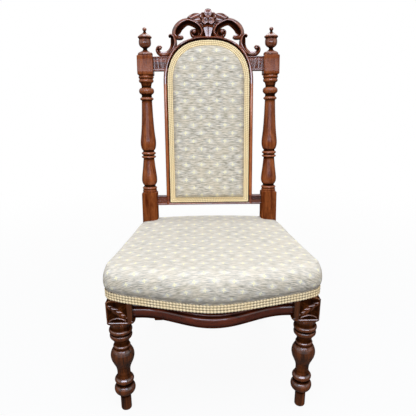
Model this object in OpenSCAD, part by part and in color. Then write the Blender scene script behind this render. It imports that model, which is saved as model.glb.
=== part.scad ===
// Side chair with a stuffed seat, an arched stuffed back panel and a pierced, carved crest.
// Millimetres, +Z up, the front of the chair faces -Y, the origin is on the floor under the middle.

/* [Seat plan] */
// Distance between the centres of the two front legs
leg_span = 448; // [420:1:470]
// Distance between the centres of the two rear legs
post_span = 356; // [345:1:368]
// Distance from the front leg centres back to the rear leg centres
seat_run = 318.6; // [300:0.1:340]
// How far the seat's front bows forward in the middle
front_bow = 50; // [30:1:60]
// How far the stuffed seat stands outside the front legs
cover_overhang = 4; // [3:0.5:6]

/* [Seat frame] */
// Height of the underside of the seat rails
rail_low_z = 266; // [240:1:280]
// Height of the ledge where the upholstery stops
ledge_z = 316; // [306:1:320]
// Height of the top of the seat rails
rail_top_z = 340; // [335:1:350]
// Thickness of the front rail
front_rail_t = 32; // [26:1:34]
// Thickness of the side rails
side_rail_t = 28; // [22:1:30]
// Thickness of the rear rail
rear_rail_t = 28; // [22:1:30]

/* [Front legs] */
// Side of the square block at the top of a front leg
leg_side = 54; // [50:1:58]
// Height of the underside of that block
leg_block_z = 255; // [248:1:258]
// Radius of the round peg under the leg that took a castor
peg_r = 13.5; // [11:0.5:15]
// Height of that peg
peg_h = 40; // [34:1:46]
// Radius of the leg's belly, its widest turning
belly_r = 29; // [26:0.5:30]

/* [Rear legs] */
// Side of the square blocks of a rear leg
post_side = 44; // [42:1:46]
// Height where the rear leg starts to lean back
knee_z = 345; // [345:1:350]
// Lean of the rear leg above the seat, in degrees
rake = 6.2; // [4:0.1:8]
// How far the rear foot stands behind the seat's rear
foot_sweep = 95; // [60:1:100]
// Side of the rear foot
foot_side = 28; // [26:1:34]

/* [Back] */
// Distance up the post from the knee to the top of the lower block
lower_block_s = 139.5; // [135:0.5:145]
// Distance up the post from the knee to the foot of the upper block
upper_block_s = 475; // [468:0.5:480]
// Height of the upper block
upper_block_h = 53; // [52:0.5:60]
// Gap between the back panel's frame and each post
panel_gap = 27.5; // [25:0.5:31]
// Distance up the post from the knee to the springing of the arch
spring_s = 450; // [445:1:455]
// Rise of the arch over its springing
arch_rise = 129.5; // [122:0.5:133]
// Distance up the post from the knee to the lower edge of the lower back rail
back_rail_s = 99.5; // [95:0.5:102]
// Height of the lower back rail
back_rail_h = 28.5; // [26:0.5:33]
// Thickness of the back frame
back_t = 22; // [18:1:26]
// Visible width of the frame's moulding round the upholstery
moulding_w = 12; // [10:0.5:14]
// Width of the frame under the upholstery's edge
rebate_w = 16; // [15.5:0.5:18]
// Height of the carving over the arch
carving_h = 69.5; // [60:0.5:75]
// Distance from the centre of each post to the carving's outer scrolls
carving_gap = 30; // [28:0.5:32]

/* [Upholstery] */
// Height of the seat's crown
crown_z = 412; // [405:0.5:420]
// Thickness of the seat cover with its wadding
cover_t = 2.5; // [2:0.1:3]
// How far the seat's top is lower at the sides than in the middle
side_drop = 12; // [6:1:16]
// Width of the braid round the seat
seat_braid_w = 20; // [16:1:22]
// Width of the braid round the back
back_braid_w = 15; // [12:0.5:15]
// How far the back's stuffing stands forward of its frame
back_crown = 28; // [22:1:34]
// Width of a webbing strip
web_w = 50; // [40:1:54]
// Thickness of the webbing
web_t = 1.6; // [1.2:0.1:2]
// Radius of a seat spring at its ends
spring_r = 36; // [30:1:38]

/* [Hidden] */
$fn = 64;

// Clearances: glued joints, sewn and tacked layers, and an overrun for cuts
joint_gap = 0.15;
layer_gap = 0.3;
post_gap = 0.5;
overrun = 1;

// Places in plan, from the line of the front leg centres
leg_x = leg_span / 2;
post_x = post_span / 2;
leg_half = leg_side / 2;
post_half = post_side / 2;
leg_in_x = leg_x - leg_half;
post_in_x = post_x - post_half;
post_front_y = seat_run - post_half;
panel_half_w = post_in_x - panel_gap;
carving_half_w = post_x - carving_gap;

// Rear foot and the whole depth, which sets the origin under the middle
foot_y = seat_run + foot_sweep;
front_bulge = 9.5;
bow_set_back = 1;
reach_front = leg_half - bow_set_back + front_bow + front_bulge;
reach_back = foot_y + foot_side / 2;
front_leg_y = (reach_front - reach_back) / 2;

wood = "#6b3a26";
wood_dark = "#4a2417";
cloth = "#b9b4a0";
braid = "#e6d7a4";
jute = "#a98f62";
steel = "#8b8b8d";

module in_place() { translate([0, front_leg_y, 0]) children(); }
module side(right) { mirror([right ? 0 : 1, 0, 0]) children(); }

// Outlines: a closed list of points is moved outwards by d, each corner along its mitre
function unit(v) = v / norm(v);
function edge_normal(a, b) = let(e = unit(b - a)) [e[1], -e[0]];
function mitre(pts, i) =
  let(n = len(pts),
      u = edge_normal(pts[(i + n - 1) % n], pts[i]),
      v = edge_normal(pts[i], pts[(i + 1) % n]))
  (u + v) / (1 + u * v);
function moved(pts, d) = [for (i = [0:len(pts) - 1]) pts[i] + d * mitre(pts, i)];
function mirrored(half) = concat(half,
  [for (i = [len(half) - 2:-1:1]) [-half[i][0], half[i][1]]]);

// A closed form between a first and a last pole, through rings with the same count of points
function ring_faces(n, rings) = [
  for (j = [0:rings - 2], i = [0:n - 1])
    let(a = j * n + i, b = j * n + (i + 1) % n, c = b + n, d = a + n)
    each [[a, d, c], [a, c, b]]];
module lofted(rings, first, last) {
  n = len(rings[0]);
  m = len(rings);
  pole_a = n * m;
  pole_b = pole_a + 1;
  top = n * (m - 1);
  polyhedron(
    points = concat([for (r = rings) each r], [first, last]),
    faces = concat(
      [for (i = [0:n - 1]) [pole_a, i, (i + 1) % n]],
      ring_faces(n, m),
      [for (i = [0:n - 1]) [top + i, pole_b, top + (i + 1) % n]]),
    convexity = 6);
}

// Seat outline at the braid, counter-clockwise from the middle of the front
corner_r = 34.5;
corner_x = leg_x + leg_half + cover_overhang - corner_r;
corner_y = leg_side / 3;
bow_half = leg_x - leg_side / 3;
bow_bend = 50;
bow_end_y = bow_set_back - leg_half;
bow_steps = 8;
rear_set_in = 4;
rear_line_y = seat_run + post_half - rear_set_in;
rear_corner_share = 0.95;
function bow_rise(x) = sqrt(1 + pow(x / bow_bend, 2)) - 1;
function bow_y(x) = bow_end_y - front_bow * (1 - bow_rise(x) / bow_rise(bow_half));
seat_half = concat(
  [for (i = [0:bow_steps]) let(x = bow_half * i / bow_steps) [x, bow_y(x)]],
  [for (a = [-70:17.5:0]) [corner_x + corner_r * cos(a), corner_y + corner_r * sin(a)]],
  let(a = [corner_x + corner_r, corner_y], b = [post_x + post_half, post_front_y])
    [for (t = [0.25:0.25:1]) a + (b - a) * t],
  [for (k = [rear_corner_share, 2 / 3, 1 / 3, 0]) [(post_x + post_half) * k, rear_line_y]]);
seat_outline = mirrored(seat_half);
seat_n = len(seat_outline);
seat_mid_y = seat_run * 0.44;

// A ring of the seat: moved outwards by d plus the bulge b, which is full in front and less at
// the sides and rear, drawn towards the middle by k, with its sides lower near the top
bulge_front_share = 0.65;
bulge_side_share = 0.35;
bulge_rear_share = 0.15;
function seat_bulge(m) =
  bulge_side_share + bulge_front_share * max(0, -m[1]) - bulge_rear_share * max(0, m[1]);
function drop_ramp(z) = min(1, max(0, (z - rail_top_z) / (crown_z - rail_top_z)));
function seat_ring(d, b, z, k = 1, drop = side_drop) = [
  for (i = [0:seat_n - 1])
    let(m = mitre(seat_outline, i),
        p = seat_outline[i] + m * (d + b * seat_bulge(unit(m))),
        x = p[0] * k,
        y = seat_mid_y + (p[1] - seat_mid_y) * k)
    [x, y, z - drop * drop_ramp(z) * pow(x / (leg_x + leg_half), 2)]];

// Levels of the seat's skin from the ledge up: bulge as a share of front_bulge, height as a
// share of the seat's height over the ledge, and draw towards the middle
skin_shares = [
  [0, 0.005, 1], [0.1, 0.22, 1], [0.74, 0.315, 1], [1, 0.43, 1], [0.95, 0.566, 1],
  [0.53, 0.712, 1], [-0.3, 0.827, 1], [-1.47, 0.91, 1], [-2.95, 0.958, 1],
  [-2.95, 0.979, 0.75], [-2.95, 0.995, 0.5], [-2.95, 1, 0.22]];
skin_top_from = 5;
seat_h = crown_z - ledge_z;
outer_levels = [for (i = [0:len(skin_shares) - 1]) i];
inner_levels = [0, 1, 2, 3, 4, 5, 7, 8, 9, 11];
function skin_rings(inset, levels) = [
  for (i = levels)
    let(s = skin_shares[i], z = ledge_z + s[1] * seat_h)
    seat_ring(-inset, s[0] * front_bulge,
              i < skin_top_from ? z : z - inset * min(1, s[1] * s[1]), s[2])];
function reversed(l) = [for (i = [len(l) - 1:-1:0]) l[i]];

// Layers of the seat's edge: the stuffing goes down over the rails' rebate, under the cover
roll_t = 7;
stuffing_inset = cover_t + layer_gap;
skirt_inset = stuffing_inset + roll_t + layer_gap;

// What the rear posts and their outer corners take out of the seat's layers
module post_room(gap) {
  wide = leg_span;
  for (r = [false, true]) side(r)
    translate([post_in_x - gap, post_front_y - gap, rail_low_z - overrun])
      cube([wide, wide, crown_z]);
}

// Rail section from the underside up: [lower edge, upper edge, how far the face is set back]
rail_h = ledge_z - rail_low_z;
section_shares = [
  [0, 0.12, 0.1], [0.12, 0.56, 0], [0.56, 0.64, 0.08], [0.64, 0.76, 0.02], [0.76, 1, 0.1]];
rebate_back = 9;
rail_layers = concat(
  [for (s = section_shares) [rail_low_z + s[0] * rail_h, rail_low_z + s[1] * rail_h, s[2] * rail_h]],
  [[ledge_z, rail_top_z, rebate_back]]);

// Front rail: the face bows forward between flat ends
rail_face_y = -16;
rail_bow = front_bow;
rail_bow_half = leg_x * 0.78;
rail_steps = 24;
function rail_y(x) =
  rail_face_y - rail_bow * (abs(x) < rail_bow_half ? pow(cos(90 * x / rail_bow_half), 2) : 0);
front_tenon_l = 25;
side_tenon_l = 15;
rear_tenon_l = 16;
tenon_t = 12;
tenon_drop = 8;
tenon_set_back = 3;
front_tenon_y = rail_face_y + rebate_back + tenon_set_back;
tenon_z = rail_low_z + tenon_drop;
tenon_h = rail_top_z - tenon_drop - tenon_z;
module front_tenons(grow) {
  for (r = [false, true]) side(r)
    translate([leg_in_x - overrun, front_tenon_y - grow, tenon_z - grow])
      cube([front_tenon_l + overrun + grow, tenon_t + 2 * grow, tenon_h + 2 * grow]);
}

// Side rail line: centre of the rail at its front and rear ends
side_front_out = 4;
side_rear_out = 3;
side_front_x = leg_x + side_front_out;
side_rear_x = post_x + side_rear_out;
side_half = side_rail_t / 2;
side_front_y = leg_half + joint_gap;
side_rear_y = post_front_y - joint_gap;
function side_x(y) = side_front_x
  + (side_rear_x - side_front_x) * (y - side_front_y) / (side_rear_y - side_front_y);
module side_tenons(grow) {
  t = tenon_t + 2 * grow;
  h = tenon_h + 2 * grow;
  translate([side_front_x - t / 2, side_front_y - side_tenon_l - grow, tenon_z - grow])
    cube([t, side_tenon_l + overrun + grow, h]);
  translate([side_rear_x - t / 2, side_rear_y - overrun, tenon_z - grow])
    cube([t, side_tenon_l + overrun + grow, h]);
}

// Rear rail between the rear legs, rebated like the others above the ledge
rear_face_back = 3;
rear_face_y = rear_line_y - rear_face_back;
rear_rail_y = rear_line_y - skirt_inset - rear_rail_t / 2;
rear_tenon_y = rear_rail_y - tenon_t / 4;
module rear_tenons(grow) {
  for (r = [false, true]) side(r)
    translate([post_in_x - overrun, rear_tenon_y - grow, tenon_z - grow])
      cube([rear_tenon_l + overrun + grow, tenon_t + 2 * grow, tenon_h + 2 * grow]);
}

// Corner blocks and their screws
block_reach = 58;
block_raise = 8;
block_low_z = rail_low_z + block_raise;
block_h = 44;
screw_r = 2;
screw_head_r = 4;
screw_head_h = 2.4;
screw_l = 34;
screw_grip = 18;
screw_room = 0.12;
block_mid_z = block_low_z + block_h / 2;
screw_z_step = 10;
front_inner_y = rail_face_y + front_rail_t + joint_gap;
rear_inner_y = rear_rail_y - rear_rail_t / 2 - joint_gap;
block_notch = leg_half + joint_gap;
front_block_plan = [
  [leg_in_x - block_reach, front_inner_y], [leg_in_x - joint_gap, front_inner_y],
  [leg_in_x - joint_gap, block_notch],
  [side_x(block_notch) - side_half - joint_gap, block_notch],
  [side_x(leg_half + block_reach) - side_half - joint_gap, leg_half + block_reach]];
rear_block_y = post_front_y - joint_gap;
rear_block_plan = [
  [post_in_x - block_reach, rear_inner_y],
  [side_x(post_front_y - block_reach) - side_half - joint_gap, post_front_y - block_reach],
  [side_x(rear_block_y) - side_half - joint_gap, rear_block_y],
  [post_in_x - joint_gap, rear_block_y],
  [post_in_x - joint_gap, rear_inner_y]];
module screw(grow, room) {
  cylinder(r = screw_r + grow, h = screw_l + grow);
  translate([0, 0, -room])
    cylinder(r = screw_head_r + grow, h = screw_head_h + room);
}
// One screw into each rail: start point, and the turn that points its shank at the rail
screw_in = 22;
module block_screws(grow, room = 0) {
  x1 = leg_in_x - screw_in;
  for (r = [false, true]) side(r) {
    translate([x1, front_inner_y + screw_grip, block_mid_z + screw_z_step])
      rotate([90, 0, 0]) screw(grow, room);
    translate([side_x(leg_half + screw_in) - side_half - screw_grip, leg_half + screw_in,
               block_mid_z - screw_z_step])
      rotate([0, 90, 0]) screw(grow, room);
    translate([post_in_x - screw_in, rear_inner_y - screw_grip, block_mid_z + screw_z_step])
      rotate([-90, 0, 0]) screw(grow, room);
    translate([side_x(post_front_y - screw_in) - side_half - screw_grip, post_front_y - screw_in,
               block_mid_z - screw_z_step])
      rotate([0, 90, 0]) screw(grow, room);
  }
}
module corner_block(plan) {
  color(wood_dark) in_place() difference() {
    translate([0, 0, block_low_z]) linear_extrude(block_h) polygon(plan);
    block_screws(screw_room, block_reach);
  }
}

// Webbing strips under the rails, woven over and under each other
web_x_shares = [-0.464, 0, 0.464];
web_y_shares = [0.257, 0.502, 0.747];
web_xs = leg_x * web_x_shares;
web_ys = seat_run * web_y_shares;
web_z = rail_low_z - web_t / 2 - joint_gap;
weave = web_t / 2 + layer_gap;
weave_room = 4;
weave_flat = web_w / 2 + weave_room;
web_lap = 20;
function web_line(starts, stops, ends, first_up) = concat(
  [[starts, web_z]],
  [for (i = [0:len(stops) - 1], e = [-1, 1])
    [stops[i] + e * weave_flat, web_z + ((i + first_up) % 2 == 0 ? weave : -weave)]],
  [[ends, web_z]]);
module strip(line) {
  half = web_t / 2;
  linear_extrude(web_w, center = true)
    polygon(concat([for (p = line) [p[0], p[1] + half]],
                   [for (p = reversed(line)) [p[0], p[1] - half]]));
}
function cross_end(y) = side_x(y) - side_half + web_lap;

// Tacks through each end of each strip
tack_shank_r = 0.9;
tack_shank_l = 11;
tack_head_r = 3.2;
tack_head_h = 0.8;
tack_room = 0.1;
tack_in = 9;
tacks_a_strip = 3;
tack_step = web_w / (tacks_a_strip + 1);
function long_start(i) = rail_y(web_xs[i]) + front_rail_t - web_lap;
long_end = rear_inner_y + web_lap;
module tack(grow) {
  translate([0, 0, web_z - web_t / 2 - tack_head_h - grow])
    cylinder(r = tack_shank_r + grow, h = tack_shank_l + 2 * grow, $fn = 24);
  translate([0, 0, web_z - web_t / 2 - tack_head_h - grow])
    cylinder(r = tack_head_r + grow, h = tack_head_h, $fn = 24);
}
module long_tacks(grow) {
  for (i = [0:len(web_xs) - 1], k = [1:tacks_a_strip], y = [long_start(i) + tack_in, long_end - tack_in])
    translate([web_xs[i] - web_w / 2 + k * tack_step, y, 0]) tack(grow);
}
module cross_tacks(grow) {
  for (y = web_ys, k = [1:tacks_a_strip], r = [-1, 1])
    translate([r * (cross_end(y) - tack_in), y - web_w / 2 + k * tack_step, 0]) tack(grow);
}

// Seat springs: an hourglass coil of one wire, 6 sides and 8 rings a curl
spring_waist_share = 0.62;
spring_wire_r = 1.6;
spring_turns = 4.5;
spring_steps = 8;
spring_sides = 6;
spring_low_z = web_z + weave + web_t / 2 + layer_gap + spring_wire_r;
spring_over = 10;
spring_top_z = rail_top_z + spring_over;
spring_shares = [[-0.348, 0.3], [0.348, 0.3], [0, 0.502], [-0.348, 0.704], [0.348, 0.704]];
spring_places = [for (s = spring_shares) [s[0] * leg_x, s[1] * seat_run]];
function spring_ring(t) =
  let(a = 360 * spring_turns * t,
      r = spring_r * (spring_waist_share + (1 - spring_waist_share) * pow(2 * t - 1, 2)),
      z = spring_low_z + (spring_top_z - spring_low_z) * t * t * (3 - 2 * t))
  [for (q = [0:spring_sides - 1])
    let(b = 360 * q / spring_sides, w = r + spring_wire_r * cos(b))
    [w * cos(a), w * sin(a), z - spring_wire_r * sin(b)]];
module spring() {
  m = spring_turns * spring_steps;
  rings = [for (j = [0:m]) spring_ring(j / m)];
  n = spring_sides;
  polyhedron(
    points = [for (r = rings) each r],
    faces = concat([[for (i = [n - 1:-1:0]) i]], ring_faces(n, m + 1), [[for (i = [0:n - 1]) m * n + i]]));
}

// Canvas over the springs: a thin dome tacked to the rail tops
canvas_t = 1.2;
canvas_inset = 16;
canvas_rise = 20;
canvas_shares = [[1, 0], [0.9, 0.1], [0.8, 0.42], [0.64, 0.8], [0.4, 0.96], [0.2, 1]];
canvas_z = rail_top_z + joint_gap;
function canvas_rings(lift, inset) = [
  for (s = canvas_shares) seat_ring(-inset, 0, canvas_z + lift + s[1] * canvas_rise, s[0], 0)];

stuffing_lift = canvas_t + layer_gap;

// Front leg turning: height and radius as shares of the turned height and of the belly
turning_shares = [
  [0.165, 0.469], [0.178, 0.586], [0.192, 0.703], [0.208, 0.814], [0.224, 0.883], [0.243, 0.91],
  [0.263, 0.883], [0.278, 0.807], [0.294, 0.703], [0.308, 0.652], [0.325, 0.752], [0.337, 0.81],
  [0.351, 0.824], [0.363, 0.793], [0.375, 0.717], [0.388, 0.628], [0.416, 0.559], [0.463, 0.562],
  [0.502, 0.638], [0.541, 0.786], [0.58, 0.928], [0.612, 0.99], [0.635, 1], [0.659, 0.962],
  [0.682, 0.886], [0.702, 0.793], [0.72, 0.683], [0.737, 0.721], [0.753, 0.628], [0.773, 0.61],
  [0.8, 0.683], [0.824, 0.828], [0.839, 0.924], [0.859, 0.931], [0.881, 0.821], [0.898, 0.955],
  [0.918, 0.966], [0.933, 0.869], [0.965, 0.859], [1, 0.931]];
peg_chamfer = 2;
// Lip of the leg's block that laps over the end of the front rail
lip_w = 7.5;
lip_rise = 6;

// Rear post turning: distance up and radius as shares of the turned length and of post_half
turned_s = upper_block_s - lower_block_s;
column_shares = [
  [0, 0.862], [0.004, 0.888], [0.024, 0.915], [0.028, 0.858], [0.032, 0.927], [0.046, 0.935],
  [0.053, 0.778], [0.059, 0.724], [0.068, 0.799], [0.08, 0.907], [0.092, 0.972], [0.109, 1.01],
  [0.13, 0.992], [0.15, 0.956], [0.18, 0.904], [0.21, 0.847], [0.24, 0.794], [0.27, 0.752],
  [0.291, 0.714], [0.3, 0.73], [0.305, 0.895], [0.314, 0.935], [0.323, 0.87], [0.328, 0.732],
  [0.335, 0.835], [0.343, 0.938], [0.351, 0.916], [0.357, 0.731], [0.363, 0.692], [0.373, 0.809],
  [0.384, 0.895], [0.396, 0.954], [0.413, 1], [0.433, 1.02], [0.455, 1.01], [0.48, 0.968],
  [0.51, 0.912], [0.54, 0.864], [0.583, 0.812], [0.628, 0.771], [0.673, 0.74], [0.72, 0.712],
  [0.777, 0.639], [0.798, 0.62], [0.804, 0.8], [0.81, 0.873], [0.816, 0.82], [0.822, 0.641],
  [0.837, 0.638], [0.849, 0.775], [0.861, 0.918], [0.873, 0.984], [0.885, 0.923], [0.894, 0.717],
  [0.9, 0.614], [0.917, 0.638], [0.935, 0.716], [0.944, 0.852], [0.953, 0.937], [0.965, 0.935],
  [0.971, 0.871], [0.977, 0.924], [0.989, 0.945], [0.996, 0.871], [1, 0.903]];

// Finial: height and radius as shares of the finial's height and of its widest turning
finial_h = 76;
finial_r = 20;
spigot_r = 7.5;
spigot_l = 22;
finial_shares = [
  [0, 0.98], [0.03, 1.03], [0.07, 1.03], [0.1, 0.97], [0.14, 0.75], [0.18, 0.5], [0.22, 0.34],
  [0.26, 0.34], [0.3, 0.5], [0.34, 0.72], [0.38, 0.83], [0.42, 0.87], [0.47, 0.86],
  [0.52, 0.8], [0.57, 0.77], [0.61, 0.77], [0.64, 0.84], [0.67, 0.94], [0.69, 0.95],
  [0.71, 0.88], [0.735, 0.66], [0.765, 0.42], [0.8, 0.28], [0.84, 0.19], [0.87, 0.19],
  [0.89, 0.27], [0.93, 0.32], [0.965, 0.26], [0.99, 0.12], [1, 0.02]];

// Back panel outlines, in the leaning plane of the posts: x across, s up the post
arch_power = 0.83;
function arch_points(half_w, rise, low_s, steps) = concat(
  [[0, low_s], [half_w / 2, low_s], [half_w, low_s], [half_w, (low_s + spring_s) / 2]],
  [for (i = [0:steps]) let(a = 90 * i / steps)
    [half_w * pow(cos(a), arch_power), spring_s + rise * pow(sin(a), arch_power)]]);
arch_steps = 12;
panel_outline = mirrored(arch_points(panel_half_w, arch_rise, back_rail_s, 2 * arch_steps));
arch_top_s = spring_s + arch_rise;
crown_moulding_share = 0.95;
braid_raise = 9;
braid_low_s = back_rail_s + braid_raise;
braid_outline = mirrored(arch_points(panel_half_w - moulding_w,
  arch_rise - moulding_w * crown_moulding_share, braid_low_s, arch_steps));
rebate_depth = 3;
face_y = back_t / 2 - rebate_depth;
back_rail_top_s = back_rail_s + back_rail_h;
back_mid_s = (arch_top_s + braid_low_s) / 2;

// A ring of the back's layers: moved by d, standing h off the rebate, drawn in by k
function back_ring(d, h, k = 1) = [
  for (p = moved(braid_outline, d))
    [p[0] * k, -face_y - h, back_mid_s + (p[1] - back_mid_s) * k]];
edge_in = 1;
tuck_in = 5;
pad_gap = 0.5;
pad_in = back_braid_w + pad_gap;
pad_run = 17;
pad_shares = [[0, 0.08, 1], [0.15, 0.33, 1], [0.44, 0.58, 1], [1, 0.77, 1], [1, 0.89, 0.8],
  [1, 0.96, 0.55], [1, 1, 0.25]];
back_cover_t = 1.8;
back_canvas_t = 1;
function pad_rings(inset) = [
  for (s = pad_shares) back_ring(-pad_in - s[0] * pad_run - inset, s[1] * back_crown - inset, s[2])];

module leaning() {
  in_place() translate([0, seat_run, knee_z]) rotate([-rake, 0, 0]) children();
}
// A flat shape in the back's plane, between two depths measured forward of the post's centre
module slab(front, back) {
  translate([0, back, 0]) rotate([90, 0, 0]) linear_extrude(front + back) children();
}
module rebated(open) {
  for (y = [face_y, -face_y - rebate_depth - overrun])
    translate([0, y + rebate_depth + overrun, 0]) rotate([90, 0, 0])
      linear_extrude(rebate_depth + overrun) polygon(moved(braid_outline, layer_gap));
}

// Dowels of the back frame: the stiles' feet and heads
dowel_r = 4;
dowel_l = 36;
dowel_room = 0.08;
stile_x = panel_half_w - (moulding_w + rebate_w) / 2;
module frame_dowels(grow) {
  for (r = [-1, 1], s = [back_rail_top_s, spring_s])
    translate([r * stile_x, 0, s - dowel_l / 2 - grow])
      cylinder(r = dowel_r + grow, h = dowel_l + 2 * grow, $fn = 32);
}

// Tenons of the lower back rail and of the crest's arms in the posts
back_tenon_t = 10;
back_tenon_l = 13;
back_tenon_drop = 5;
module back_rail_tenons(grow) {
  for (r = [false, true]) side(r)
    translate([post_in_x - overrun, -back_tenon_t / 2 - grow, back_rail_s + back_tenon_drop - grow])
      cube([back_tenon_l + overrun + grow, back_tenon_t + 2 * grow,
            back_rail_h - 2 * back_tenon_drop + 2 * grow]);
}
arm_raise = 11.5;
arm_taper = 2;
arm_root_share = 0.7;
arm_low_s = upper_block_s + arm_raise;
arm_h = 41;
module arm_tenons(grow) {
  for (r = [false, true]) side(r)
    translate([post_in_x - overrun, -back_tenon_t / 2 - grow, arm_low_s + back_tenon_drop - grow])
      cube([back_tenon_l + overrun + grow, back_tenon_t + 2 * grow,
            arm_h - 2 * back_tenon_drop + 2 * grow]);
}

// Carving: bands along smooth lines through [x, height, width], all shares of carving_half_w,
// heights over a line a little below the arch's crown
side_scroll_shares = [
  [0.75, 0.012, 0.03], [0.71, 0.035, 0.06], [0.668, 0, 0.095], [0.655, -0.07, 0.115],
  [0.66, -0.14, 0.115], [0.7, -0.22, 0.1], [0.77, -0.28, 0.09], [0.85, -0.3, 0.085],
  [0.925, -0.285, 0.08], [0.965, -0.235, 0.07], [0.955, -0.185, 0.05], [0.92, -0.165, 0.035],
  [0.89, -0.18, 0.02]];
big_scroll_shares = [
  [0.452, -0.02, 0.045], [0.515, -0.035, 0.08], [0.585, 0.015, 0.115], [0.585, 0.1, 0.135],
  [0.52, 0.205, 0.135], [0.375, 0.27, 0.13], [0.195, 0.205, 0.11], [0.135, 0.12, 0.1],
  [0.155, 0.045, 0.08], [0.215, 0.02, 0.08], [0.29, 0.045, 0.05], [0.315, 0.1, 0.04],
  [0.285, 0.13, 0.03]];
leaf_shares = [
  [0.13, 0.24], [0.25, 0.27], [0.32, 0.31], [0.375, 0.355], [0.34, 0.39], [0.29, 0.42],
  [0.21, 0.425], [0.12, 0.4]];
tongue_shares = [[0, -0.03], [0.05, -0.03], [0.06, 0.04], [0.085, 0.09], [0.11, 0.22], [0, 0.26]];
curve_steps = 3;
carving_sink = 2.5;
carving_line_s = arch_top_s - carving_sink;
function smooth(a, b, c, d, t) = 0.5 * (2 * b + (c - a) * t
  + (2 * a - 5 * b + 4 * c - d) * t * t + (3 * b - a - 3 * c + d) * t * t * t);
function smoothed(p) = let(n = len(p)) concat(
  [for (i = [0:n - 2], k = [0:curve_steps - 1])
    smooth(p[max(0, i - 1)], p[i], p[i + 1], p[min(n - 1, i + 2)], k / curve_steps)],
  [p[n - 1]]);
function flat_normal(p, i) =
  let(a = p[max(0, i - 1)], b = p[min(len(p) - 1, i + 1)]) edge_normal([a[0], a[1]], [b[0], b[1]]);
function band(p) = concat(
  [for (i = [0:len(p) - 1]) [p[i][0], p[i][1]] + flat_normal(p, i) * p[i][2] / 2],
  [for (i = [len(p) - 1:-1:0]) [p[i][0], p[i][1]] - flat_normal(p, i) * p[i][2] / 2]);
module carved(shares, as_band) {
  for (r = [false, true]) side(r) translate([0, carving_line_s]) scale(carving_half_w)
    polygon(as_band ? band(smoothed(shares)) : shares);
}
flower_r = 20.5;
flower_depth = 18;
scroll_half = 8;
side_scroll_half = 7;
leaf_half = 6;
tongue_front = 7;
tongue_back = 4;
eye_r = 6;
eye_place_share = [0.255, 0.1];
petal_shares = [[0, 0.585], [0.585, 0.28], [-0.585, 0.28], [0.34, -0.56], [-0.34, -0.56]];
flower_disc_share = 0.72;
petal_r = 8.5;
boss_r = 5;
flower_s = arch_top_s + carving_h - petal_r - petal_shares[0][1] * flower_r;

// The turned and carved parts of the frame

module front_leg(right) {
  color(wood_dark) in_place() side(right) translate([leg_x, 0, 0]) difference() {
    union() {
      rotate_extrude() polygon(concat(
        [[0, 0], [peg_r - peg_chamfer, 0], [peg_r, peg_chamfer], [peg_r, peg_h]],
        [for (s = turning_shares) [s[1] * belly_r, s[0] * leg_block_z]],
        [[0, leg_block_z]]));
      translate([-leg_half, -leg_half, leg_block_z])
        cube([leg_side, leg_side, ledge_z - leg_block_z]);
      translate([-leg_half - lip_w, -leg_half, leg_block_z + lip_rise])
        cube([lip_w + overrun, leg_half + rail_face_y - joint_gap, ledge_z - leg_block_z - lip_rise]);
      intersection() {
        translate([-leg_half, -leg_half, ledge_z - overrun])
          cube([leg_side, leg_side, rail_top_z - ledge_z + overrun]);
        translate([-leg_x, 0, ledge_z - overrun]) linear_extrude(rail_top_z)
          polygon(moved(seat_outline, -skirt_inset));
      }
    }
    translate([-leg_x, 0, 0]) {
      front_tenons(joint_gap);
      side_tenons(joint_gap);
    }
  }
}
module front_leg_left() { front_leg(false); }
module front_leg_right() { front_leg(true); }

// Lower rear leg: side outline swept back, tapered in width by a second outline
sweep_steps = 8;
sweep_power = 1.5;
leg_lap = 10;
leg_taper = 4;
knee_drop = 12;
leg_top_z = rail_low_z + leg_lap;
rear_leg_w = post_side - leg_taper;
knee_block_z = rail_low_z - knee_drop;
function sweep_y(t) = seat_run + foot_sweep * pow(1 - t, sweep_power);
function sweep_half(t) = (foot_side + (rear_leg_w - foot_side) * t) / 2;
module rear_leg(right) {
  side_line = [for (i = [0:sweep_steps]) i / sweep_steps];
  color(wood) difference() {
    union() {
      in_place() side(right) intersection() {
        translate([post_x - post_side, 0, 0]) rotate([90, 0, 90]) linear_extrude(2 * post_side)
          polygon(concat(
            [for (t = side_line) [sweep_y(t) - sweep_half(t), t * leg_top_z]],
            [for (t = reversed(side_line)) [sweep_y(t) + sweep_half(t), t * leg_top_z]]));
        translate([post_x, reach_back + overrun, 0]) rotate([90, 0, 0])
          linear_extrude(2 * reach_back)
          polygon([[-foot_side / 2, 0], [foot_side / 2, 0],
                   [rear_leg_w / 2, leg_top_z], [-rear_leg_w / 2, leg_top_z]]);
      }
      in_place() side(right) translate([post_in_x, post_front_y, knee_block_z])
        cube([post_side, post_side, knee_z - knee_block_z]);
      leaning() side(right) translate([post_x, 0, 0]) {
        translate([-post_half, -post_half, -post_half * tan(rake)])
          cube([post_side, post_side, lower_block_s + post_half * tan(rake)]);
        translate([0, 0, lower_block_s]) rotate_extrude()
          polygon(concat([[0, -overrun], [column_shares[0][1] * post_half, -overrun]],
            [for (s = column_shares) [s[1] * post_half, s[0] * turned_s]],
            [[column_shares[0][1] * post_half, turned_s + overrun], [0, turned_s + overrun]]));
        translate([-post_half, -post_half, upper_block_s])
          cube([post_side, post_side, upper_block_h]);
      }
    }
    in_place() {
      side(right) side_tenons(joint_gap);
      rear_tenons(joint_gap);
    }
    leaning() {
      back_rail_tenons(joint_gap);
      arm_tenons(joint_gap);
      side(right) translate([post_x, 0, upper_block_s + upper_block_h - spigot_l - overrun])
        cylinder(r = spigot_r + joint_gap, h = spigot_l + 2 * overrun);
    }
  }
}
module rear_leg_left() { rear_leg(false); }
module rear_leg_right() { rear_leg(true); }

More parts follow.
